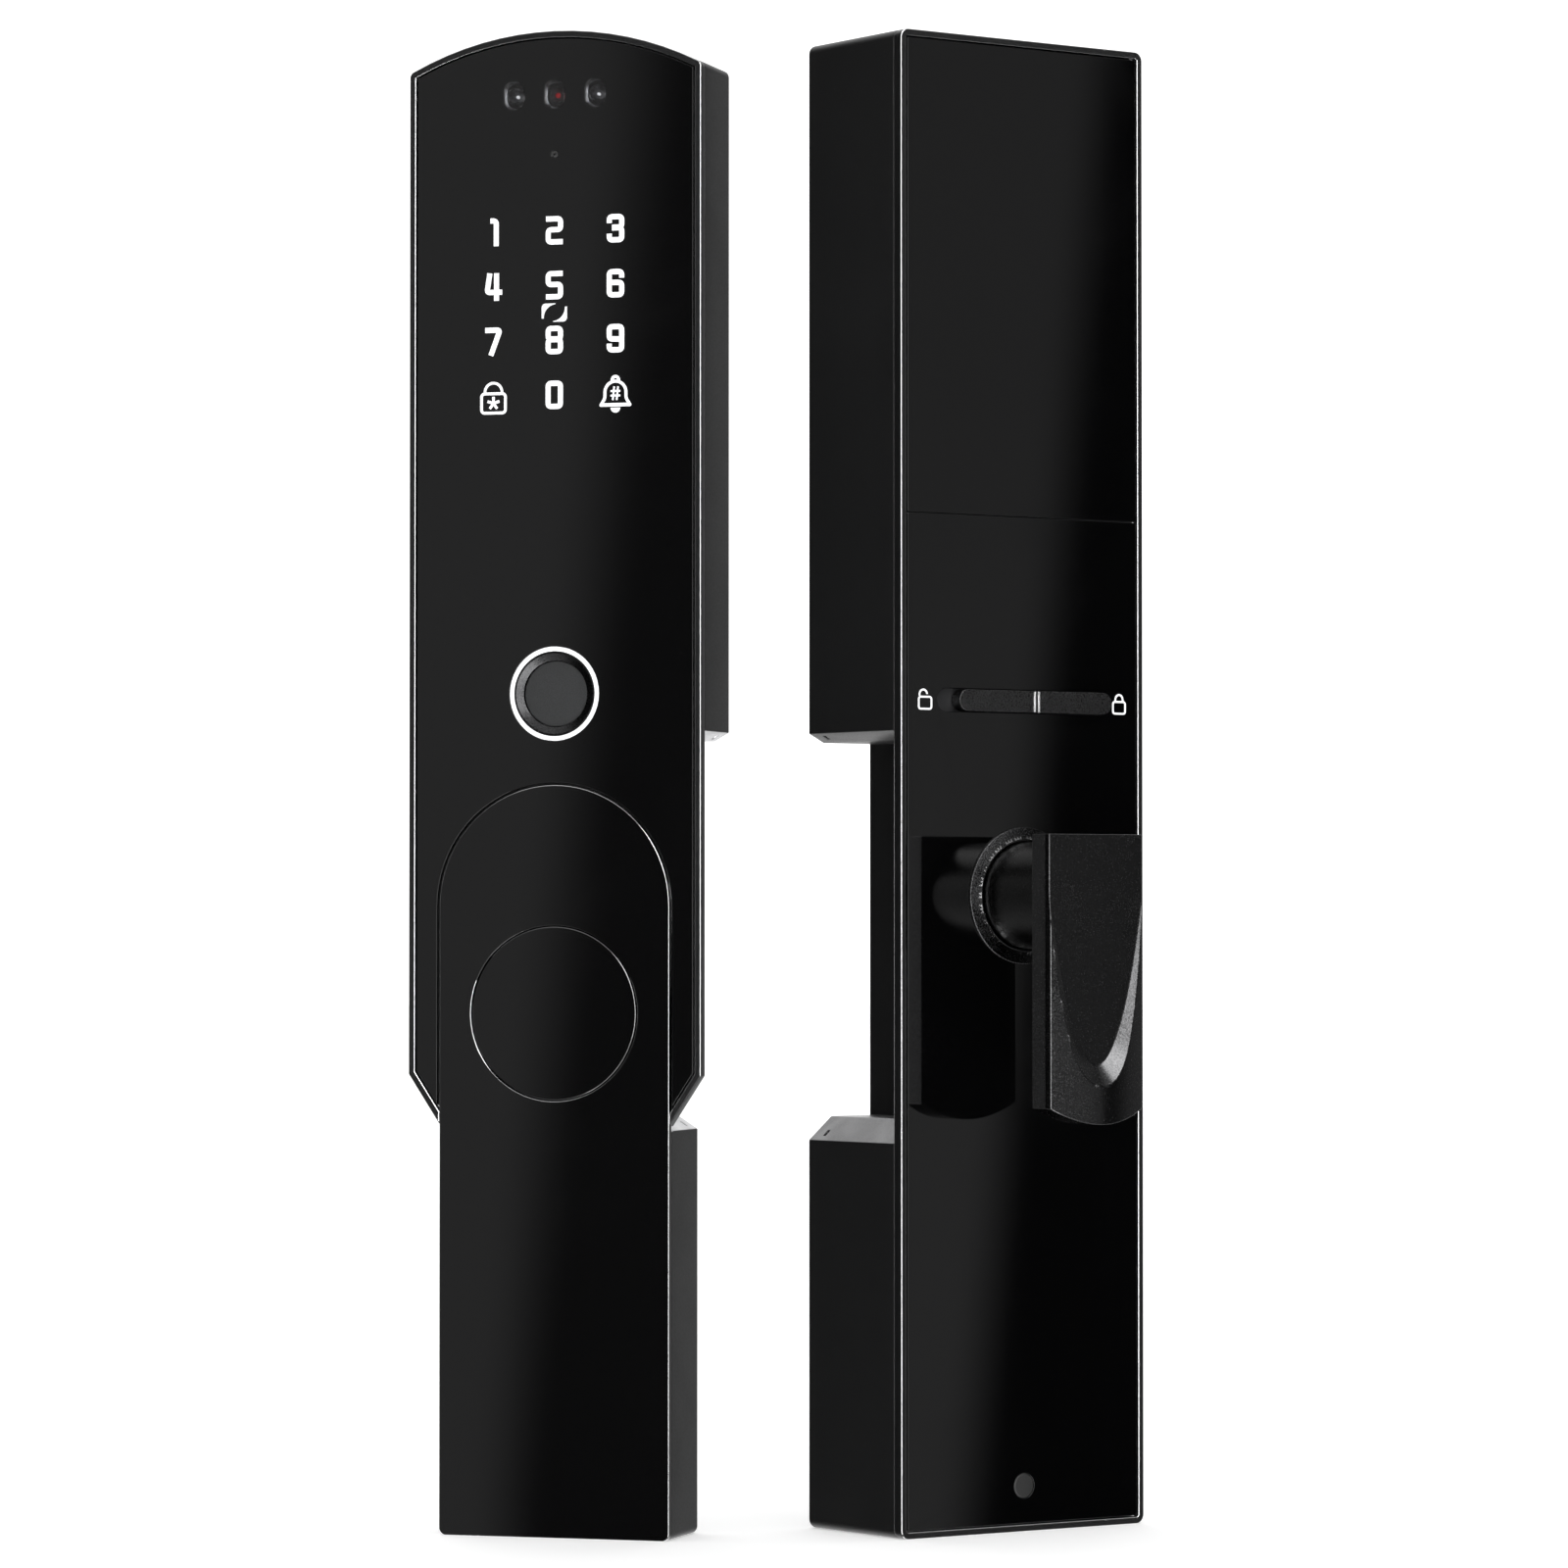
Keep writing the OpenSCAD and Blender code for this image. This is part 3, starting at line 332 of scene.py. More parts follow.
@cache
def edge_rub_and_highlight_group():
    """Rubbed edges with a painted edge highlight, from 0 on flat faces to 1 on an edge, broken up
    by noise
    """
    tree, given, out = new_group("Edge rub and highlight", {"Radius": 0.0004, "Amount": 1.0}, ["Rub"])
    rounded = add_node(tree, "ShaderNodeBevel", {"Radius": given["Radius"]}, samples=4)
    flat = add_node(tree, "ShaderNodeNewGeometry").outputs["Normal"]
    facing = vector_maths(tree, "DOT_PRODUCT", rounded.outputs[0], flat).outputs["Value"]
    edge = ramp(tree, facing, 0.995, 0.86)
    broken = ramp(tree, noise_at(tree, object_place(tree), Scale=420.0, Detail=4.0), 0.35, 0.65)
    rub_and_highlight = maths(tree, "MULTIPLY", edge, broken)
    tree.links.new(maths(tree, "MULTIPLY", rub_and_highlight, given["Amount"], clamp=True), out["Rub"])
    return tree


# ---- materials ----


def new_material(name, **constants):
    """A material whose shader sockets hold the given constants, its tree and its shader"""
    material = bpy.data.materials.new(name)
    material.use_nodes = True
    tree = material.node_tree
    shader = tree.nodes["Principled BSDF"]
    for socket, value in constants.items():
        shader.inputs[socket.replace("_", " ")].default_value = value
    return material, tree, shader.inputs


@cache
def coated_metal(name, colour=None, rough=0.4, grain=None, bump=0.25, rub_and_highlight=0.6, metal=0.0):
    """Sprayed black coat on metal: grain, film, dust, and edges lightened partly as rubbed coat and
    partly as a painted highlight
    """
    lift = 2.2
    colour = colour or tuple(finish().coat)
    material, tree, into = new_material(name, Metallic=metal)
    grains = place_group(tree, grain_group(), size=grain or finish().grain, contrast=2.2)
    film = place_group(tree, smudge_group(), size=0.03, cover=0.45)["Film"]
    dust = place_group(tree, dust_group(), size=0.002, amount=0.5)["Dust"]
    edge_rub_and_highlight = place_group(tree, edge_rub_and_highlight_group(), radius=0.0005, amount=rub_and_highlight)["Rub"]
    base = blend_colours(tree, grains["Shade"], toned(colour, 0.55), toned(colour, 1.5))
    # Edges blend to a lighter tone: part rubbed coat, part painted edge highlight
    base = blend_colours(tree, edge_rub_and_highlight, base, tuple(lift * part + 0.01 for part in colour))
    base = blend_colours(tree, dust, base, (0.12, 0.118, 0.11))
    tree.links.new(base, into["Base Color"])
    grained = ramp(tree, grains["Shade"], 0.0, 1.0, rough - 0.07, rough + 0.07)
    filmed = maths(tree, "ADD", grained, maths(tree, "MULTIPLY", film, 0.05))
    rubbed = maths(tree, "SUBTRACT", filmed, maths(tree, "MULTIPLY", edge_rub_and_highlight, 0.12))
    tree.links.new(rubbed, into["Roughness"])
    emboss(tree, into, grains["Height"], bump, 0.06 * MM)
    return material


@cache
def black_glass(name, rough=0.03):
    """Back-painted glass: black, polished, with a faint film and a few dust specks"""
    material, tree, into = new_material(name, IOR=1.5)
    film = place_group(tree, smudge_group(), size=0.045, cover=0.4)["Film"]
    dust = place_group(tree, dust_group(), size=0.004, amount=0.35)["Dust"]
    paint = tuple(finish().glass)
    base = blend_colours(tree, film, paint, toned(paint, 1.25))
    tree.links.new(blend_colours(tree, dust, base, (0.03, 0.03, 0.03)), into["Base Color"])
    tree.links.new(ramp(tree, film, 0.0, 1.0, rough, rough + 0.035), into["Roughness"])
    return material


@cache
def plastic(name, colour, rough=0.45, grain=0.0006, bump=0.15, clear=0.0, glow=None):
    """Moulded plastic or rubber with a fine texture, which may be clear or glow"""
    material, tree, into = new_material(name, Transmission_Weight=clear)
    if glow:
        into["Emission Color"].default_value = glow
        into["Emission Strength"].default_value = 0.7
    grains = place_group(tree, grain_group(), size=grain, contrast=1.6)
    film = place_group(tree, smudge_group(), size=0.015, cover=0.5)["Film"]
    tone = blend_colours(tree, grains["Shade"], toned(colour, 0.85), toned(colour, 1.12))
    tree.links.new(tone, into["Base Color"])
    tree.links.new(ramp(tree, film, 0.0, 1.0, rough, min(1.0, rough + 0.12)), into["Roughness"])
    emboss(tree, into, grains["Height"], bump, 0.08 * MM)
    return material


@cache
def bare_metal(name, colour, rough=0.28, size=0.0009, dull=0.78):
    """Plated or drawn metal: upright streaks, blotches and a fine bump"""
    material, tree, into = new_material(name, Metallic=1.0)
    at = object_place(tree)
    drawn = add_node(tree, "ShaderNodeMapping", {
        "Vector": at, "Scale": (1.0, 1.0, 1 / STREAK_LENGTH),
    })
    streak = noise_at(tree, drawn.outputs[0], Scale=1 / size, Detail=3.0)
    film = place_group(tree, smudge_group(), size=0.012, cover=0.55)["Film"]
    tone = blend_colours(tree, streak, toned(colour, dull), colour)
    tree.links.new(blend_colours(tree, film, tone, toned(colour, dull)), into["Base Color"])
    smooth = ramp(tree, streak, 0.3, 0.7, 0.8 * rough, 1.3 * rough)
    filmed = maths(tree, "ADD", smooth, maths(tree, "MULTIPLY", film, 0.1))
    tree.links.new(filmed, into["Roughness"])
    emboss(tree, into, streak, 0.12, 0.05 * MM)
    return material


@cache
def lit_white(name, glow, rough=0.35):
    """White ink or diffuser with light behind it, slightly uneven"""
    material, tree, into = new_material(name, Emission_Strength=glow, Roughness=rough)
    grains = place_group(tree, grain_group(), size=0.0005, contrast=0.8)
    white = tuple(finish().print_white)
    tone = blend_colours(tree, grains["Shade"], toned(white, 0.93), white)
    tree.links.new(tone, into["Base Color"])
    tree.links.new(tone, into["Emission Color"])
    return material


@cache
def solder_mask():
    """Green solder mask over fine copper traces"""
    material, tree, into = new_material("solder_mask")
    at = object_place(tree)
    bricks = add_node(tree, "ShaderNodeTexBrick", {
        "Vector": add_node(tree, "ShaderNodeMapping", {
            "Vector": at, "Rotation": (math.pi / 2, 0, 0),
        }).outputs[0],
        "Scale": 160.0, "Mortar Size": 0.03, "Color1": (0, 0, 0, 1), "Color2": (0, 0, 0, 1),
        "Mortar": (1, 1, 1, 1),
    }, offset=0.37)
    trace = bricks.outputs[0]
    base = blend_colours(tree, trace, (0.008, 0.055, 0.022), (0.03, 0.16, 0.07))
    tree.links.new(base, into["Base Color"])
    film = place_group(tree, smudge_group(), size=0.01, cover=0.5)["Film"]
    tree.links.new(ramp(tree, film, 0.0, 1.0, 0.25, 0.4), into["Roughness"])
    emboss(tree, into, trace, 0.4, 0.05 * MM)
    return material


def housing_coat():
    return coated_metal("housing_coat", rough=0.44, bump=0.3)


def frame_coat():
    return coated_metal("frame_coat", rough=0.36, bump=0.22)


def steel_finish():
    return bare_metal("zinc_steel", tuple(finish().steel), rough=0.34)


def brass_finish():
    return bare_metal("key_brass", tuple(finish().brass), rough=0.24)


def black_moulding():
    return plastic("black_moulding", (0.012, 0.012, 0.013), rough=0.42)


def gasket_rubber():
    return plastic("gasket_foam", (0.01, 0.01, 0.01), rough=0.8, grain=0.0004, bump=0.4)


# ---- modelling helpers ----


def deselect():
    bpy.ops.object.select_all(action="DESELECT")


def take(piece):
    """Makes a piece the only one selected, and the active one"""
    deselect()
    piece.select_set(True)
    bpy.context.view_layer.objects.active = piece


def edit(piece):
    take(piece)
    bpy.ops.object.mode_set(mode="EDIT")


def leave():
    bpy.ops.object.mode_set(mode="OBJECT")


def select_everything():
    bpy.ops.mesh.select_all(action="SELECT")


def face_outwards():
    select_everything()
    bpy.ops.mesh.normals_make_consistent(inside=False)


def pick_faces(piece, wanted):
    """In edit mode, selects only the faces whose middle and normal are wanted"""
    bpy.ops.mesh.select_mode(type="FACE")
    bpy.ops.mesh.select_all(action="DESELECT")
    mesh = bmesh.from_edit_mesh(piece.data)
    for face in mesh.faces:
        face.select_set(bool(wanted(face.calc_center_median(), face.normal)))
    bmesh.update_edit_mesh(piece.data)


def use_modifier(piece, kind, **options):
    """Adds a modifier and applies it"""
    take(piece)
    made = piece.modifiers.new(kind.title(), kind)
    for name, value in options.items():
        setattr(made, name, value)
    bpy.ops.object.modifier_apply(modifier=made.name)


def round_edges(piece, radius, segments=2, sharper_than=30):
    """Rounds every edge sharper than an angle, and keeps flat faces flat in shading"""
    take(piece)
    bpy.ops.object.shade_smooth()
    use_modifier(
        piece, "BEVEL", width=radius, segments=segments, limit_method="ANGLE",
        angle_limit=math.radians(sharper_than), use_clamp_overlap=False,
    )
    use_modifier(piece, "WEIGHTED_NORMAL", weight=100, keep_sharp=True)


def put_in_place(piece, unit):
    """Moves a piece by a unit's matrix in its mesh, so that its object stays at the origin"""
    take(piece)
    piece.matrix_world = unit @ piece.matrix_world
    bpy.ops.object.transform_apply(location=True, rotation=True, scale=True)


def wear_material(piece, material):
    piece.data.materials.clear()
    piece.data.materials.append(material)


def hand_over(piece, node):
    """Makes a finished piece stand for a CAD node and ride on that node's body"""
    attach(piece, frame["nodes"][node]["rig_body"])
    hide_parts(node)


def fit(piece, unit, at, node):
    """Moves a piece to its place in a unit, given in millimetres, and hands it over"""
    piece.matrix_world = Matrix.Translation(Vector(at) * MM) @ piece.matrix_world
    put_in_place(piece, unit)
    hand_over(piece, node)


def finished_copy(node, radius, material, segments=2):
    """A merged copy of a CAD node with rounded edges, which stands for it"""
    piece = copy_piece(frame["nodes"][node], f"{node}_finished")
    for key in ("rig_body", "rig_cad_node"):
        del piece[key]
    bpy.ops.mesh.customdata_custom_splitnormals_clear()
    edit(piece)
    select_everything()
    bpy.ops.mesh.remove_doubles(threshold=0.002 * MM)
    bpy.ops.mesh.dissolve_limited(angle_limit=math.radians(0.2))
    leave()
    round_edges(piece, radius, segments)
    wear_material(piece, material)
    hand_over(piece, node)
    return piece


def dress(node, material):
    """Gives a CAD node that stays as it is a material"""
    wear_material(frame["nodes"][node], material)


def chain(name, points):
    """A new piece that is one line of edges, drawn by extruding a single vertex"""
    deselect()
    bpy.ops.mesh.primitive_plane_add(size=MM)
    piece = bpy.context.object
    piece.name = name
    bpy.ops.object.mode_set(mode="EDIT")
    bpy.ops.mesh.select_mode(type="VERT")
    select_everything()
    bpy.ops.mesh.merge(type="CENTER")
    bpy.ops.transform.translate(value=points[0])
    for last, point in zip(points, points[1:]):
        step = Vector(point) - Vector(last)
        bpy.ops.mesh.extrude_region_move(TRANSFORM_OT_translate={"value": step})
    leave()
    return piece


def plate(name, points, step):
    """A piece extruded from a closed flat outline"""
    piece = chain(name, points)
    edit(piece)
    select_everything()
    bpy.ops.mesh.edge_face_add()
    bpy.ops.mesh.extrude_region_move(TRANSFORM_OT_translate={"value": step})
    face_outwards()
    leave()
    return piece


def cut_with(piece, cutter, operation="DIFFERENCE"):
    """Applies a cutter to a piece and removes the cutter"""
    use_modifier(piece, "BOOLEAN", operation=operation, object=cutter, solver="MANIFOLD")
    bpy.data.objects.remove(cutter)


def turned(name, outline, steps=96):
    """A piece turned about the y axis from an outline of (radius, depth) in millimetres"""
    piece = chain(name, [(radius * MM, depth * MM, 0) for radius, depth in outline])
    edit(piece)
    select_everything()
    bpy.ops.mesh.spin(steps=steps, angle=2 * math.pi, center=(0, 0, 0), axis=(0, 1, 0))
    select_everything()
    bpy.ops.mesh.remove_doubles(threshold=0.001 * MM)
    bpy.ops.mesh.normals_make_consistent(inside=False)
    leave()
    return piece


def paint_faces(piece, material, wanted):
    """Gives the faces that are wanted a second material"""
    piece.data.materials.append(material)
    edit(piece)
    pick_faces(piece, wanted)
    piece.active_material_index = len(piece.data.materials) - 1
    bpy.ops.object.material_slot_assign()
    leave()


# Bright bare metal for painting highlights onto narrow bevels
def highlight_metal(name="painted_edge_highlight", tone=0.6):
    return bare_metal(name, (tone, tone, 1.01 * tone), rough=0.12, size=0.0002, dull=0.92)


def is_bevel(normal, unit):
    """Whether a face leans between a unit's front and its sides"""
    return 0.2 < abs(normal.dot(unit.to_3x3() @ Vector((0, 1, 0)))) < 0.98


def paint_edge_highlights(piece, unit, metal=None):
    """Paints the narrow bevels round a piece's front and back in bright bare metal, a painted edge
    highlight
    """
    paint_faces(piece, metal or highlight_metal(), lambda at, normal: (
        is_bevel(normal, unit) and not -0.6 < normal.z < -0.15
    ))


def copy_piece(piece, name):
    """A copy with its own mesh"""
    take(piece)
    bpy.ops.object.duplicate()
    made = bpy.context.view_layer.objects.active
    made.name = name
    return made


def dome(radius, foot, back, skin):
    """A lamp's or a lens's dome: an outline (radius, depth) whose top lies in front of its foot"""
    steps = (0.3, 0.6, 0.9, 1.2, 1.5)
    bulge = [(radius * math.sin(a), foot - radius * math.cos(a)) for a in steps]
    return [(0, foot - radius), *bulge, (skin, back), (0, back)]


# ---- operators ----


class LOCK_OT_studio(bpy.types.Operator):
    """Set up the camera, the pale floor, the soft sky and the two reflector cards"""

    bl_idname = "lock.studio"
    bl_label = "Studio"

    def execute(self, context):
        light = studio()
        self.add_camera(context, light)
        self.add_floor(light)
        self.add_sky(context.scene, light)
        self.add_card("front_card", -2.0, light.card)
        self.add_card("side_card", 2.0, light.card)
        context.scene.view_settings.view_transform = "Standard"
        return {"FINISHED"}

    def add_camera(self, context, light):
        deselect()
        turn = (math.pi / 2 + light.camera_tilt, 0, light.camera_turn)
        bpy.ops.object.camera_add(location=light.camera_at, rotation=turn)
        camera = context.object
        camera.data.lens = light.lens
        camera.data.sensor_width = 36
        context.scene.camera = camera

    def add_floor(self, light):
        deselect()
        bpy.ops.mesh.primitive_circle_add(
            vertices=128, radius=12, fill_type="NGON", location=(0, 0, BASE_Z)
        )
        floor = bpy.context.object
        floor.name = "floor"
        material, tree, into = new_material("pale_floor", Roughness=0.9,
                                            Emission_Strength=light.floor_glow)
        into["Specular IOR Level"].default_value = 0
        noise = noise_at(tree, object_place(tree), Scale=900.0)
        tone = blend_colours(tree, noise, (0.9, 0.9, 0.9), (0.94, 0.94, 0.94))
        tree.links.new(tone, into["Base Color"])
        tree.links.new(tone, into["Emission Color"])
        wear_material(floor, material)
        floor.visible_glossy = False

    def add_sky(self, scene, light):
        """White behind, above and below, dim in front, and white to the eye all round"""
        world = bpy.data.worlds.new("studio_sky")
        world.use_nodes = True
        scene.world = world
        tree = world.node_tree
        way = add_node(tree, "ShaderNodeTexCoord").outputs["Generated"]
        ways = add_node(tree, "ShaderNodeSeparateXYZ", {0: way}).outputs
        behind = ramp(tree, ways["Y"], 0.16, 0.5, smooth=True)
        left = ramp(tree, ways["X"], -0.95, -0.6, smooth=True)
        right = ramp(tree, ways["X"], -0.1, 0.3, 1.0, light.right_share, smooth=True)
        behind = maths(tree, "MULTIPLY", maths(tree, "MULTIPLY", behind, left), right)
        steep = ramp(tree, maths(tree, "ABSOLUTE", ways["Z"]), 0.55, 0.9, smooth=True)
        open_sky = maths(tree, "MAXIMUM", behind, steep)
        level = ramp(tree, open_sky, 0.0, 1.0, light.shade, light.sky)
        rays = add_node(tree, "ShaderNodeLightPath").outputs
        flat = vector_maths(tree, "MULTIPLY", way, (1, 1, 0)).outputs[0]
        flat = vector_maths(tree, "NORMALIZE", flat).outputs[0]
        towards = vector_maths(tree, "DOT_PRODUCT", flat, light.box_way).outputs["Value"]
        strip = ramp(tree, towards, 0.966, 0.99, 0.0, light.box, smooth=True)
        strip = maths(tree, "MULTIPLY", strip, ramp(tree, ways["Z"], 0.5, 0.3, smooth=True))
        towards = vector_maths(tree, "DOT_PRODUCT", way, light.high_box_way).outputs["Value"]
        high_box = ramp(tree, towards, 0.94, 0.98, 0.0, light.box, smooth=True)
        box = maths(tree, "MAXIMUM", strip, high_box)
        shone = maths(tree, "MULTIPLY", box, rays["Is Glossy Ray"])
        shown = maths(tree, "MAXIMUM", maths(tree, "MAXIMUM", level, shone), rays["Is Camera Ray"])
        background = tree.nodes["Background"]
        background.inputs["Color"].default_value = (1, 1, 1, 1)
        tree.links.new(shown, background.inputs["Strength"])

    def add_card(self, name, away, level):
        """A reflector card: lit up to a soft edge that leans and sharpens towards the floor"""
        deselect()
        side = name == "side_card"
        bpy.ops.mesh.primitive_plane_add(
            size=1, location=(away, -0.5, 0.3) if side else (-0.9, away, 0.3),
            rotation=(math.pi / 2, 0, math.pi / 2 if side else 0),
        )
        card = bpy.context.object
        card.name = name
        bpy.ops.transform.resize(value=(1, 1.4, 2.0) if side else (1.2, 1, 2.0))
        bpy.ops.object.transform_apply(location=True, rotation=True, scale=True)
        material = bpy.data.materials.new(name)
        material.use_nodes = True
        tree = material.node_tree
        tree.nodes.clear()
        at = add_node(tree, "ShaderNodeSeparateXYZ", {
            0: object_place(tree),
        }).outputs
        across = at["Y"] if side else at["X"]
        start_low, start_high, end_low, end_high, dimmest, high_share = (
            (0.002, 0.083, 0.041, 0.119, 0.0, 0.72) if side
            else (-0.750, -0.675, -0.699, -0.607, 0.12, 1.0)
        )
        start = ramp(tree, at["Z"], -0.35, 0.5, start_low, start_high)
        end = ramp(tree, at["Z"], -0.35, 0.5, end_low, end_high)
        lit = ramp(tree, across, start, end, 1.0, dimmest, smooth=True)
        upper = ramp(tree, at["Z"], -0.1, 0.3, 0.92 * level if side else level, high_share * level)
        strength = maths(tree, "MULTIPLY", lit, upper)
        glow = add_node(tree, "ShaderNodeEmission", {"Strength": strength}).outputs[0]
        add_node(tree, "ShaderNodeOutputMaterial", {0: glow})
        wear_material(card, material)
        card.visible_camera = False
        card.visible_shadow = False


class LOCK_OT_fronts(bpy.types.Operator):
    """Finish the glasses, and the arched panel and the key cover with painted highlights on their
    edges
    """

    bl_idname = "lock.fronts"
    bl_label = "Front glasses"

    def execute(self, context):
        glass = black_glass("polished_glass")
        panel = black_glass("panel_glass", rough=0.025)
        for node in ("outdoor_glass", "indoor_glass", "cover_glass"):
            finished_copy(node, finish().glass_edge, glass)
        paint_edge_highlights(finished_copy("tongue_panel", 1.5 * finish().glass_edge, panel), OUTDOOR)
        # The cover's bevels get a dim painted edge highlight
        paint_edge_highlights(finished_copy("key_cover", finish().glass_edge, panel), OUTDOOR,
                     highlight_metal("cover_painted_highlight", 0.12))
        return {"FINISHED"}


class LOCK_OT_casings(bpy.types.Operator):
    """Finish the metal frames and housings with a grained coat and rounded edges, painted
    highlights on the frames' edges and on some upward and downward faces of the housings
    """

    bl_idname = "lock.casings"
    bl_label = "Frames and housings"

    def execute(self, context):
        # The frames' bevels get painted edge highlights
        for node, unit in (("outdoor_frame", OUTDOOR), ("indoor_frame", INDOOR)):
            paint_edge_highlights(finished_copy(node, finish().metal_edge, frame_coat()), unit)
        notch_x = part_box("outdoor_housing")[1].x - 19 * MM
        notch_z, notch_half = BASE_Z + 160 * MM, 70 * MM
        housing = finished_copy("outdoor_housing", finish().metal_edge, housing_coat())
        # Bright metal on the notch's upward and downward faces, a painted highlight
        notch_highlight = bare_metal("notch_painted_highlight", (0.55, 0.55, 0.56), rough=0.32, size=0.0003, dull=0.9)
        paint_faces(housing, notch_highlight, lambda at, normal: (
            abs(normal.z) > 0.3 and at.x > notch_x and abs(at.z - notch_z) < notch_half
        ))
        ledge_x, ledge_z, ledge_half = -21 * MM, BASE_Z + 110 * MM, 20 * MM
        housing = finished_copy("indoor_housing", finish().metal_edge, housing_coat())
        # Lighter metal on the ledge's upward faces, a painted highlight
        ledge_highlight = bare_metal("ledge_painted_highlight", (0.2, 0.2, 0.203), rough=0.32, size=0.0003, dull=0.9)
        paint_faces(housing, ledge_highlight, lambda at, normal: (
            normal.z > 0.3 and (INDOOR.inverted() @ at).x < ledge_x
            and abs(at.z - ledge_z) < ledge_half
        ))
        return {"FINISHED"}


class LOCK_OT_keypad(bpy.types.Operator):
    """Light the printed digits and signs, and finish the light guide behind them"""

    bl_idname = "lock.keypad"
    bl_label = "Keypad"

    def execute(self, context):
        lit = lit_white("lit_print", 0.75)
        for node in ("keypad_digits", "keypad_icons", "card_mark", "slide_icons"):
            dress(node, lit)
        guide = lit_white("guide_white", 0.05, rough=0.5)
        finished_copy("light_guide", finish().fine_edge, guide)
        return {"FINISHED"}


class LOCK_OT_sensors(bpy.types.Operator):
    """Model the lamps and the camera lens, and finish the windows over them"""

    bl_idname = "lock.sensors"
    bl_label = "Sensors"

    def execute(self, context):
        smoke = plastic("smoked_window", (0.5, 0.5, 0.52), rough=0.06, bump=0.02, clear=1.0)
        finished_copy("sensor_windows", finish().fine_edge, smoke)
        mic = coated_metal("microphone_mesh", colour=(0.03, 0.03, 0.03), rough=0.5)
        finished_copy("microphone_port", finish().fine_edge, mic)
        low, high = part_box("camera_lens")
        up = ((low.z + high.z) / 2 - BASE_Z) / MM
        lamp_radius = 2
        lamp_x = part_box("infrared_lamps")[1].x / MM - lamp_radius
        for side, name in ((-1, "left"), (1, "right")):
            self.add_lamp(name, (side * lamp_x, 0, up))
        self.add_lens((0, 0, up))
        return {"FINISHED"}

    def add_lamp(self, name, at):
        cup = turned(f"lamp_cup_{name}", [
            (0, 4.4), (0.6, 4.4), (0.75, 4.3), (2.2, 2.4), (2.35, 2.3), (2.35, 6.6), (0, 6.6),
        ])
        round_edges(cup, HAIR_EDGE)
        wear_material(cup, bare_metal("lamp_mirror", (0.07, 0.07, 0.072), rough=0.2))
        light = turned(f"lamp_dome_{name}", dome(0.4, 3.6, 4.35, 0.4), steps=32)
        # The dome glows white, a painted glint on the lamp
        wear_material(light, lit_white("lamp_dome_glint", 1.2, rough=0.1))
        for piece in (cup, light):
            fit(piece, OUTDOOR, at, "infrared_lamps")

    def add_lens(self, at):
        barrel = turned("lens_barrel", [
            (0, 3.6), (0.7, 3.6), (0.75, 3.4), (1.35, 3.1), (1.5, 2.7), (1.95, 2.35), (2.2, 2.45),
            (2.2, 9), (0, 9),
        ])
        round_edges(barrel, HAIR_EDGE)
        wear_material(barrel, coated_metal("lens_black", colour=(0.01, 0.01, 0.01), rough=0.3))
        eye = turned("lens_eye", dome(0.72, 3.67, 3.58, 0.7), steps=32)
        # Dark red glass whose glow is a painted glint
        wear_material(eye, plastic("lens_red_glint", (0.22, 0.006, 0.008), rough=0.12, bump=0.02,
                                   glow=(0.5, 0.01, 0.015, 1)))
        for piece in (barrel, eye):
            fit(piece, OUTDOOR, at, "camera_lens")


class LOCK_OT_fingerprint(bpy.types.Operator):
    """Turn the light ring, the sloped bezel and the sensor of the fingerprint reader"""

    bl_idname = "lock.fingerprint"
    bl_label = "Fingerprint reader"

    def execute(self, context):
        low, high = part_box("fingerprint_ring")
        ring = (high.x - low.x) / 2 / MM
        up = ((low.z + high.z) / 2 - BASE_Z) / MM
        low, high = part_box("fingerprint_sensor")
        disc = (high.x - low.x) / 2 / MM
        ring_width, gap = 1.1, 0.05
        hole = ring - ring_width
        outer, inner = hole - gap, disc + gap
        parts = {
            "light_ring": ([(hole, 3.5), (hole, 0.3), (hole + 0.2, 0.12), (ring - 0.2, 0.12),
                            (ring, 0.3), (ring, 3.5), (hole, 3.5)],
                           lit_white("ring_light", 0.95), "light_ring", "fingerprint_ring"),
            "reader_bezel": ([(outer, 3.6), (outer, 0.42), (outer - 0.12, 0.3), (outer - 0.55, 0.3),
                              (outer - 0.65, 0.34), (inner + 0.1, 1.3), (inner, 1.4),
                              (inner, 3.6), (outer, 3.6)],
                             coated_metal("bezel_satin", colour=(0.036, 0.036, 0.037), rough=0.3,
                                          bump=0.04, rub_and_highlight=0.3, metal=1.0),
                             "dark_bevel", "fingerprint_bezel"),
            "reader_face": ([(0, 1.95), (disc - 0.3, 1.95), (disc - 0.08, 2.02), (disc, 2.2),
                             (disc, 3.6), (0, 3.6)],
                            coated_metal("sensor_coat", colour=tuple(finish().sensor), rough=0.55,
                                         grain=0.0003, bump=0.1, rub_and_highlight=0.0), "sensor_face",
                            "fingerprint_sensor"),
        }
        for name, (outline, material, slot, node) in parts.items():
            piece = turned(name, outline, steps=128)
            round_edges(piece, gap * MM)
            wear_material(piece, material)
            fit(piece, OUTDOOR, (0, 0, up), node)
        finished_copy("fingerprint_module", finish().fine_edge, black_moulding())
        return {"FINISHED"}


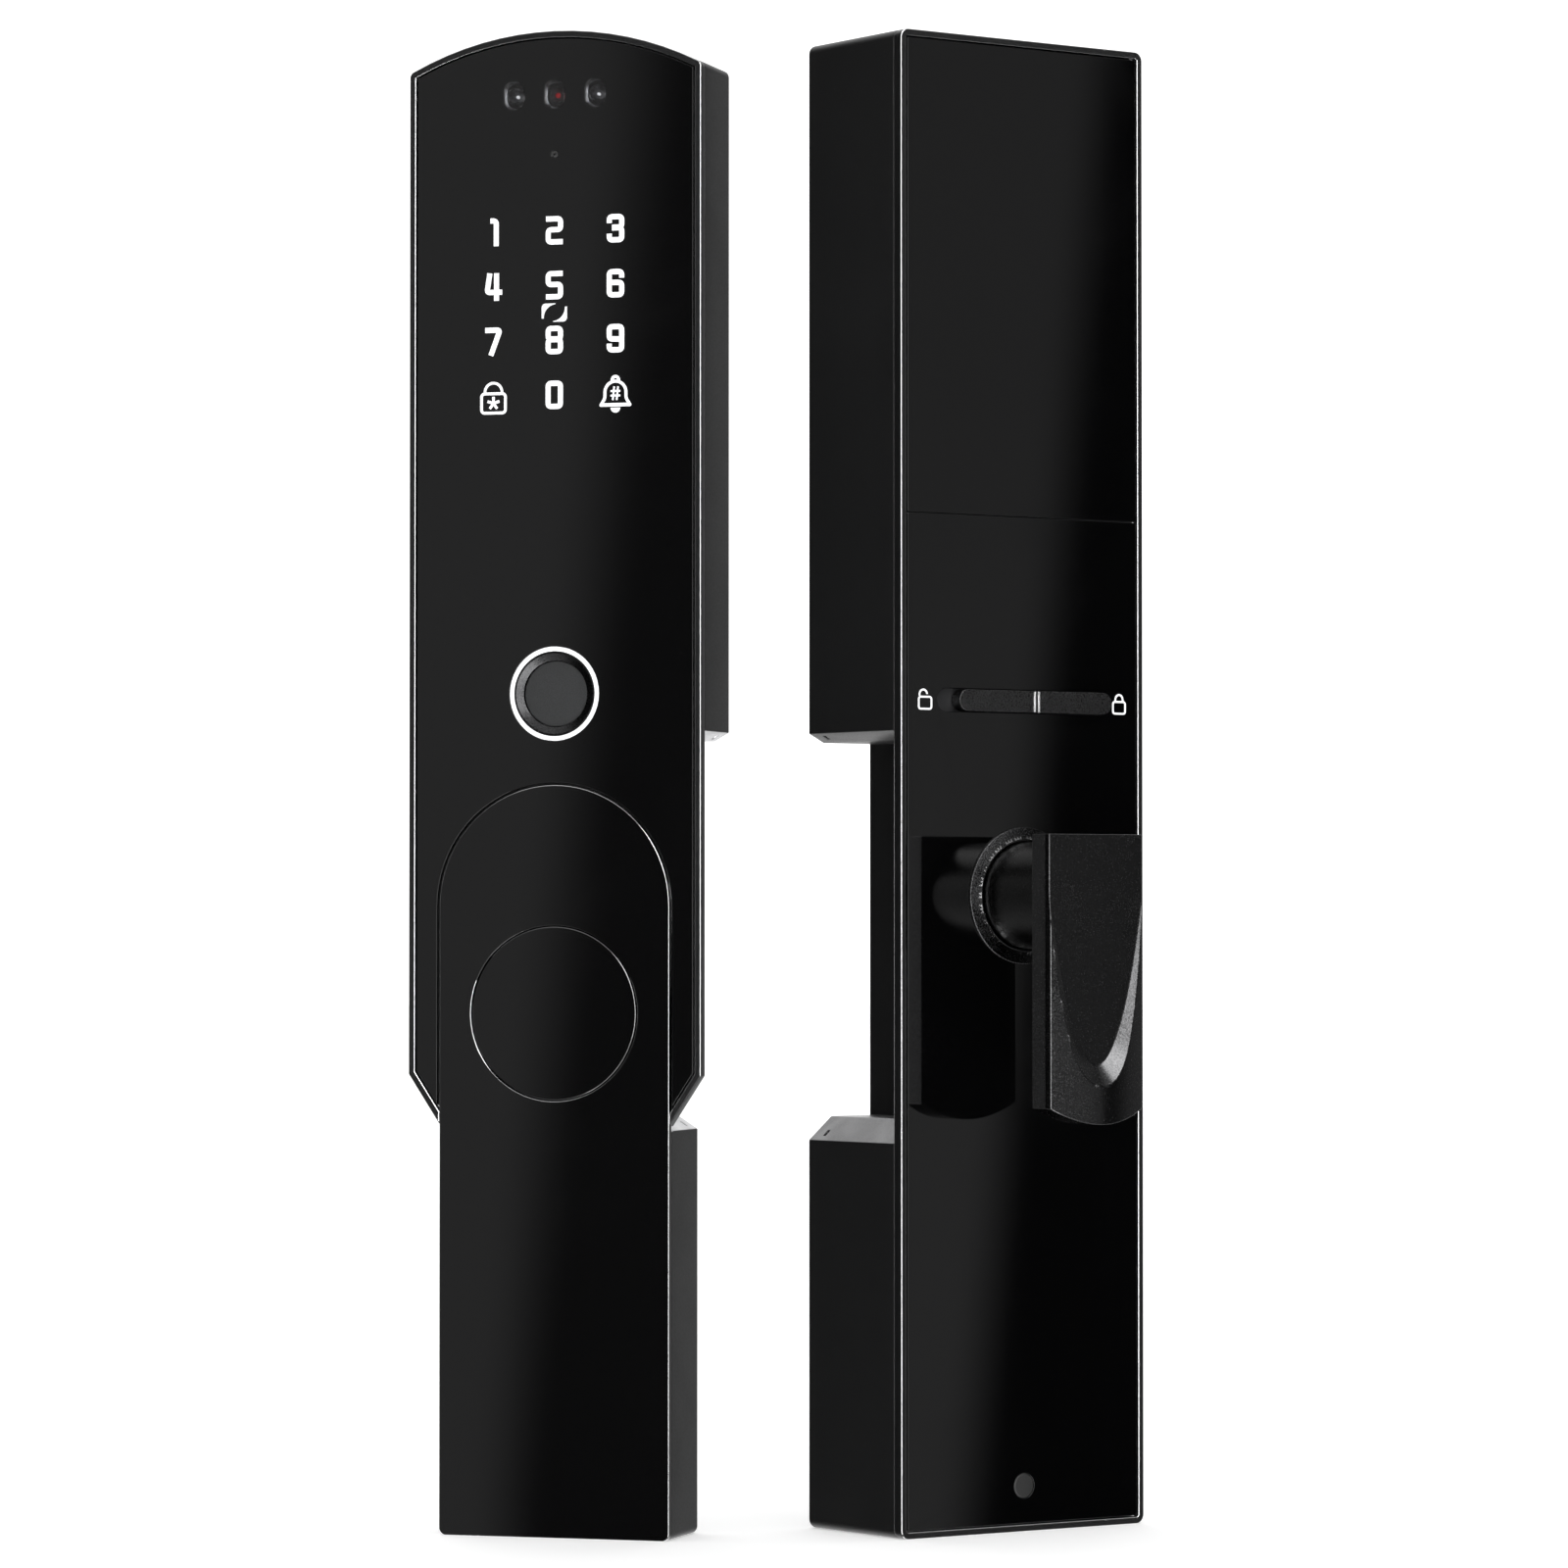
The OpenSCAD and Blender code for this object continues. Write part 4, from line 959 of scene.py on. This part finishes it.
class LOCK_OT_grip(bpy.types.Operator):
    """Model the thumb turn's grip with its scooped front, and finish its neck and rose"""

    bl_idname = "lock.grip"
    bl_label = "Thumb turn"

    def execute(self, context):
        self.add_grip(coated_metal("grip_coat", (0.06, 0.06, 0.061), rough=0.22, bump=0.2,
                                   rub_and_highlight=0.3, metal=1.0))
        rose = coated_metal("rose_coat", (0.045, 0.045, 0.046), rough=0.25, bump=0.04,
                            rub_and_highlight=0.1, metal=1.0)
        ring = finished_copy("rose_ring", finish().fine_edge, rose)
        rim_width = 2.6 * MM
        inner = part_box("rose_ring")[1].z - TURN_AT.z - rim_width
        # The rose's inner rim bevels are painted bright, a painted highlight
        paint_faces(ring, highlight_metal(), lambda at, normal: (
            is_bevel(normal, INDOOR)
            and (at - TURN_AT - TURN_OUT * (at - TURN_AT).dot(TURN_OUT)).length < inner
        ))
        neck = coated_metal("neck_coat", (0.03, 0.03, 0.03), rough=0.3, bump=0.3, rub_and_highlight=0.2,
                            metal=1.0)
        finished_copy("knob_neck", 2 * finish().fine_edge, neck)
        for node in ("knob_spindle", "knob_stud", "spindle_circlip"):
            finished_copy(node, finish().fine_edge, steel_finish())
        finished_copy("knob_cam", finish().fine_edge, black_moulding())
        finished_copy("spindle_bush", finish().fine_edge, brass_finish())
        return {"FINISHED"}

    def add_grip(self, material):
        """Crowned, arched blank, less the scoop and the stud's hole"""
        sizes = shape()
        low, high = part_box("knob_grip")
        top, foot = high.z - TURN_AT.z, low.z - TURN_AT.z
        half, back = sizes.grip_half, -sizes.grip_stand
        front = back - sizes.grip_thick
        bevel = (0.5 * MM, 1.4 * MM)
        crowned = half - bevel[0]
        shoulder = front + sizes.grip_crown + bevel[1]
        shares = [i / 24 for i in range(-24, 25)]
        section = [(-half, back), (-half, shoulder)]
        section += [(crowned * i, front + sizes.grip_crown * i * i) for i in shares]
        section += [(half, shoulder), (half, back)]
        grip = plate("knob_grip_finished", [(x, y, foot - MM) for x, y in section],
                     (0, 0, top - foot + 2 * MM))
        rise = sizes.grip_sag
        arch = [(-half - MM, top)]
        arch += [((half + MM * (abs(i) == 1)) * i, foot + rise * i * i) for i in shares]
        arch += [(half + MM, top)]
        trim = plate("grip_arch", [(x, front - MM, z) for x, z in arch],
                     (0, 2 * sizes.grip_thick, 0))
        cut_with(grip, trim, "INTERSECT")
        cut_with(grip, self.scoop(front + sizes.scoop_deep, foot + sizes.scoop_foot))
        deselect()
        bpy.ops.mesh.primitive_cylinder_add(vertices=48, radius=2.1 * MM, depth=6 * MM,
                                            location=(0, back, 0), rotation=(math.pi / 2, 0, 0))
        cut_with(grip, bpy.context.object)
        round_edges(grip, 0.25 * MM, segments=3, sharper_than=18)
        wear_material(grip, material)
        fit(grip, INDOOR, (0, 0, SPINDLE_UP / MM), "knob_grip")

    def scoop(self, bed, foot):
        """The scoop's cutter: a parabola that closes towards its top, wider at the front"""
        opening, closing = 6.25, 0.02
        deep, spread = 3.5 * MM, 6.9
        loops = []
        for name, out in (("scoop_bed", 0.0), ("scoop_rim", spread)):
            points = []
            for i in range(-36, 37):
                x = 17.6 * math.copysign(abs(i / 36) ** 1.3, i)
                high = (opening - math.sqrt(opening ** 2 - 4 * closing * x * x)) / (2 * closing)
                slope = 2 * x / (opening - 2 * closing * high)
                away = out / math.hypot(1, slope)
                points.append(((x + slope * away) * MM, bed - (deep if out else 0),
                               foot + (high - away) * MM))
            loop = chain(name, points)
            edit(loop)
            select_everything()
            bpy.ops.mesh.edge_face_add()
            bpy.ops.mesh.delete(type="ONLY_FACE")
            leave()
            loops.append(loop)
        take(loops[0])
        loops[1].select_set(True)
        bpy.ops.object.join()
        edit(loops[0])
        bpy.ops.mesh.select_mode(type="EDGE")
        select_everything()
        bpy.ops.mesh.bridge_edge_loops()
        select_everything()
        bpy.ops.mesh.fill_holes(sides=0)
        bpy.ops.mesh.normals_make_consistent(inside=False)
        leave()
        return loops[0]


class LOCK_OT_slide(bpy.types.Operator):
    """Finish the privacy slide and its slot"""

    bl_idname = "lock.slide"
    bl_label = "Privacy slide"

    def execute(self, context):
        coat = coated_metal("slide_coat", (0.08, 0.08, 0.081), rough=0.3, bump=0.35, metal=1.0)
        bar = finished_copy("slide_bar", finish().fine_edge, coat)
        low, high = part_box("slide_bar")
        bar_end = 4 * MM
        reach = (high.xy - low.xy).length / 2 - bar_end
        middle = (low.xy + high.xy) / 2
        # The grooves' bevels are painted bright, a painted highlight
        paint_faces(bar, highlight_metal("groove_painted_highlight", 0.8), lambda at, normal: (
            is_bevel(normal, INDOOR) and (at.xy - middle).length < reach and abs(normal.z) < 0.3
        ))
        for node in ("slide_carrier", "slot_liner"):
            finished_copy(node, finish().fine_edge, black_moulding())
        rubber = plastic("plug_rubber_soft", (0.018, 0.018, 0.018), rough=0.5)
        finished_copy("screw_plug", finish().fine_edge, rubber)
        return {"FINISHED"}


class LOCK_OT_key_parts(bpy.types.Operator):
    """Finish the emergency key cylinder, its plug, tailpiece and magnets"""

    bl_idname = "lock.key_parts"
    bl_label = "Key cylinder"

    def execute(self, context):
        for node in ("key_cylinder", "key_plug"):
            finished_copy(node, 2 * finish().fine_edge, brass_finish())
        for node in ("key_tailpiece", "key_cover_magnets", "power_port"):
            finished_copy(node, 1.5 * finish().fine_edge, steel_finish())
        return {"FINISHED"}


class LOCK_OT_battery_bay(bpy.types.Operator):
    """Model the cells and their springs, and finish their holder and the cover's tray"""

    bl_idname = "lock.battery_bay"
    bl_label = "Battery bay"

    def execute(self, context):
        for node in ("battery_holder", "cover_tray"):
            finished_copy(node, 1.5 * finish().fine_edge, black_moulding())
        sizes = shape()
        cell = self.model_cell()
        spring = self.model_spring()
        tab = self.model_tab()
        holder_wall = 2 * MM
        holder_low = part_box("battery_holder")[0].z - BASE_Z + holder_wall
        count = 0
        for row in range(2):
            for column in range(4):
                count += 1
                at = Vector(((column - 1.5) * sizes.cell_pitch, sizes.cell_back,
                             holder_low + row * sizes.row_pitch)) / MM
                for model, name, slot, node in (
                    (cell, "battery_cell", "cell_wrap", "battery_cells"),
                    (spring, "cell_spring", "spring_steel", "battery_contacts"),
                    (tab, "cell_tab", "spring_steel", "battery_contacts"),
                ):
                    made = copy_piece(model, f"{name}_{count}")
                    if (row + column) % 2:
                        made.matrix_world = (Matrix.Translation((0, 0, sizes.pocket))
                                             @ Matrix.Rotation(math.pi, 4, "Y"))
                    fit(made, INDOOR, at, node)
        for model in (cell, spring, tab):
            bpy.data.objects.remove(model)
        return {"FINISHED"}

    def model_cell(self):
        """A cell whose flat end stands on the spring, its axis along z from the pocket's foot"""
        r, foot, band_foot = 7.2, 3.4, 36
        cell = turned("cell_model", [
            (0, foot + 0.25), (4.6, foot + 0.25), (4.9, foot), (r - 0.9, foot),
            (r - 0.25, foot + 0.2), (r, foot + 0.7), (r, foot + band_foot), (r, foot + 48.3),
            (r - 0.3, foot + 48.9), (r - 1.0, foot + 49.15), (r - 1.3, foot + 48.95),
            (2.9, foot + 48.95), (2.75, foot + 49.1), (2.7, foot + 50.1), (2.4, foot + 50.45),
            (0, foot + 50.5),
        ], steps=64)
        put_in_place(cell, Matrix.Rotation(math.pi / 2, 4, "X"))
        round_edges(cell, 0.08 * MM)
        wear_material(cell, plastic("cell_wrap_black", tuple(finish().wrap), rough=0.3, bump=0.05))
        band = plastic("cell_wrap_copper", tuple(finish().band), rough=0.3, bump=0.05)
        tin = bare_metal("cell_tin", (0.66, 0.65, 0.62), rough=0.22)
        paint_faces(cell, band, lambda at, normal: at.z > (foot + band_foot) * MM)
        paint_faces(cell, tin, lambda at, normal: at.xy.length < (r - 1.1) * MM)
        return cell

    def model_spring(self):
        """A conical coil on the flat end's contact plate"""
        deselect()
        bpy.ops.mesh.primitive_circle_add(
            vertices=10, radius=0.35 * MM, location=(4.6 * MM, 0, 0), rotation=(math.pi / 2, 0, 0)
        )
        spring = bpy.context.object
        spring.name = "spring_model"
        bpy.ops.object.transform_apply(location=True, rotation=True, scale=True)
        use_modifier(spring, "SCREW", axis="Z", angle=2 * math.pi * 3.5, screw_offset=2.4 * MM,
                     steps=84, render_steps=84)
        edit(spring)
        face_outwards()
        leave()
        put_in_place(spring, Matrix.Translation((0, 0, 0.55 * MM)))
        bpy.ops.object.shade_smooth()
        wear_material(spring, bare_metal("spring_wire", (0.6, 0.6, 0.58), rough=0.22))
        return spring

    def model_tab(self):
        """The two contact plates of one pocket, each a pressed square of sheet"""
        deselect()
        pocket = shape().pocket
        plates = []
        for z in (0.25 * MM, pocket - 0.25 * MM):
            bpy.ops.mesh.primitive_cube_add(
                size=1, location=(0, 0, z), scale=(11 * MM, 10 * MM, 0.5 * MM)
            )
            plates.append(bpy.context.object)
        for sheet in plates:
            sheet.select_set(True)
        bpy.ops.object.join()
        tab = bpy.context.object
        tab.name = "tab_model"
        bpy.ops.object.transform_apply(location=True, rotation=True, scale=True)
        edit(tab)
        pick_faces(tab, lambda at, normal: (
            abs(normal.z) > 0.9 and 0.4 * MM < at.z < pocket - 0.4 * MM
        ))
        bpy.ops.mesh.inset(thickness=1.4 * MM, depth=0.0)
        bpy.ops.mesh.inset(thickness=0.4 * MM, depth=-0.2 * MM)
        leave()
        round_edges(tab, 0.08 * MM)
        wear_material(tab, bare_metal("contact_plate", (0.62, 0.61, 0.58), rough=0.25))
        return tab


class LOCK_OT_boards(bpy.types.Operator):
    """Finish the circuit boards, the chips on them, and what is wired to them"""

    bl_idname = "lock.boards"
    bl_label = "Boards"

    def execute(self, context):
        chips = plastic("chip_epoxy", (0.015, 0.015, 0.016), rough=0.5)
        for node in ("keypad_board", "outdoor_board", "indoor_board"):
            board = finished_copy(node, finish().fine_edge, solder_mask())
            unit = INDOOR if node == "indoor_board" else OUTDOOR
            back = unit.to_3x3() @ Vector((0, 1, 0))
            thick, half_edge = 1.5 * MM, 0.05 * MM
            skin = min((unit.inverted() @ vertex.co).y for vertex in board.data.vertices) + thick
            paint_faces(board, chips, lambda at, normal: (
                (unit.inverted() @ at).y > skin - half_edge * (abs(normal.dot(back)) < 0.5)
            ))
        for node in ("speaker", "knob_switch"):
            finished_copy(node, finish().fine_edge, black_moulding())
        return {"FINISHED"}


class LOCK_OT_backs(bpy.types.Operator):
    """Finish the back plates and gaskets and model their screws"""

    bl_idname = "lock.backs"
    bl_label = "Backs"

    def execute(self, context):
        for node in ("outdoor_plate", "indoor_plate"):
            finished_copy(node, 2 * finish().fine_edge, steel_finish())
        for node in ("outdoor_gasket", "indoor_gasket"):
            finished_copy(node, 2 * finish().fine_edge, gasket_rubber())
        right = ((33, 380), (35, 232), (25, 10))
        places = [(side * x, z) for side in (-1, 1) for x, z in right]
        self.add_screws("plate_screw", self.model_screw(12, 23.5, 24.4), OUTDOOR,
                        "outdoor_plate_screws", places)
        places = [(x, z) for x in (-12, 32) for z in (30, 140)]
        self.add_screws("board_screw", self.model_screw(15, 27.4, 29), INDOOR,
                        "board_screws", places)
        finished_copy("fixing_screw", 2 * finish().fine_edge, steel_finish())
        return {"FINISHED"}

    def model_screw(self, tip, seat, top):
        """A pan-head screw along y with a threaded shank and a cross recess"""
        pitch = 0.7
        thread = []
        for i in range(int((seat - tip - 1.5) / pitch)):
            back = tip + 0.5 + i * pitch
            thread += [(0.98, back), (1.25, back + pitch / 2)]
        outline = [(0, tip), (0.7, tip), *thread, (1.0, seat - 0.8), (1.1, seat), (2.6, seat),
                   (2.6, seat + 0.45 * (top - seat)), (2.1, top - 0.06), (0, top)]
        screw = turned("screw_model", outline, steps=32)
        deselect()
        bpy.ops.mesh.primitive_cube_add(size=0.6 * MM, location=(0, top * MM, 0))
        cutter = bpy.context.object
        edit(cutter)
        pick_faces(cutter, lambda at, normal: abs(normal.y) < 0.5)
        bpy.ops.mesh.extrude_faces_move(TRANSFORM_OT_shrink_fatten={"value": -1.1 * MM})
        select_everything()
        bpy.ops.transform.resize(value=(1, 2.2, 1), center_override=(0, top * MM, 0))
        bpy.ops.mesh.normals_make_consistent(inside=False)
        leave()
        cut_with(screw, cutter)
        round_edges(screw, 0.05 * MM, segments=1)
        wear_material(screw, steel_finish())
        return screw

    def add_screws(self, name, model, unit, node, places):
        for count, (x, z) in enumerate(places, 1):
            fit(copy_piece(model, f"{name}_{count}"), unit, (x, 0, z), node)
        bpy.data.objects.remove(model)


class LOCK_PT_panel(bpy.types.Panel):
    """Lists the lock's operators and settings"""

    bl_label = "Keypad Lock"
    bl_idname = "LOCK_PT_panel"
    bl_space_type = "VIEW_3D"
    bl_region_type = "UI"
    bl_category = "Keypad Lock"

    def draw(self, context):
        for operator in OPERATORS:
            self.layout.operator(operator.bl_idname)


SETTINGS = (StudioSettings, FinishSettings, ShapeSettings)
OPERATORS = (
    LOCK_OT_studio, LOCK_OT_fronts, LOCK_OT_casings, LOCK_OT_keypad, LOCK_OT_sensors,
    LOCK_OT_fingerprint, LOCK_OT_grip, LOCK_OT_slide, LOCK_OT_key_parts, LOCK_OT_battery_bay,
    LOCK_OT_boards, LOCK_OT_backs,
)


def register():
    for made in (*SETTINGS, *OPERATORS, LOCK_PT_panel):
        bpy.utils.register_class(made)
    bpy.types.Scene.lock_studio = PointerProperty(type=StudioSettings)
    bpy.types.Scene.lock_finish = PointerProperty(type=FinishSettings)
    bpy.types.Scene.lock_shape = PointerProperty(type=ShapeSettings)


def unregister():
    for name in ("lock_studio", "lock_finish", "lock_shape"):
        delattr(bpy.types.Scene, name)
    for made in reversed((*SETTINGS, *OPERATORS, LOCK_PT_panel)):
        bpy.utils.unregister_class(made)


def main():
    register()
    bpy.ops.lock.studio()
    bpy.ops.lock.fronts()
    bpy.ops.lock.casings()
    bpy.ops.lock.keypad()
    bpy.ops.lock.sensors()
    bpy.ops.lock.fingerprint()
    bpy.ops.lock.grip()
    bpy.ops.lock.slide()
    bpy.ops.lock.key_parts()
    bpy.ops.lock.battery_bay()
    bpy.ops.lock.boards()
    bpy.ops.lock.backs()


if __name__ == "__main__":
    main()
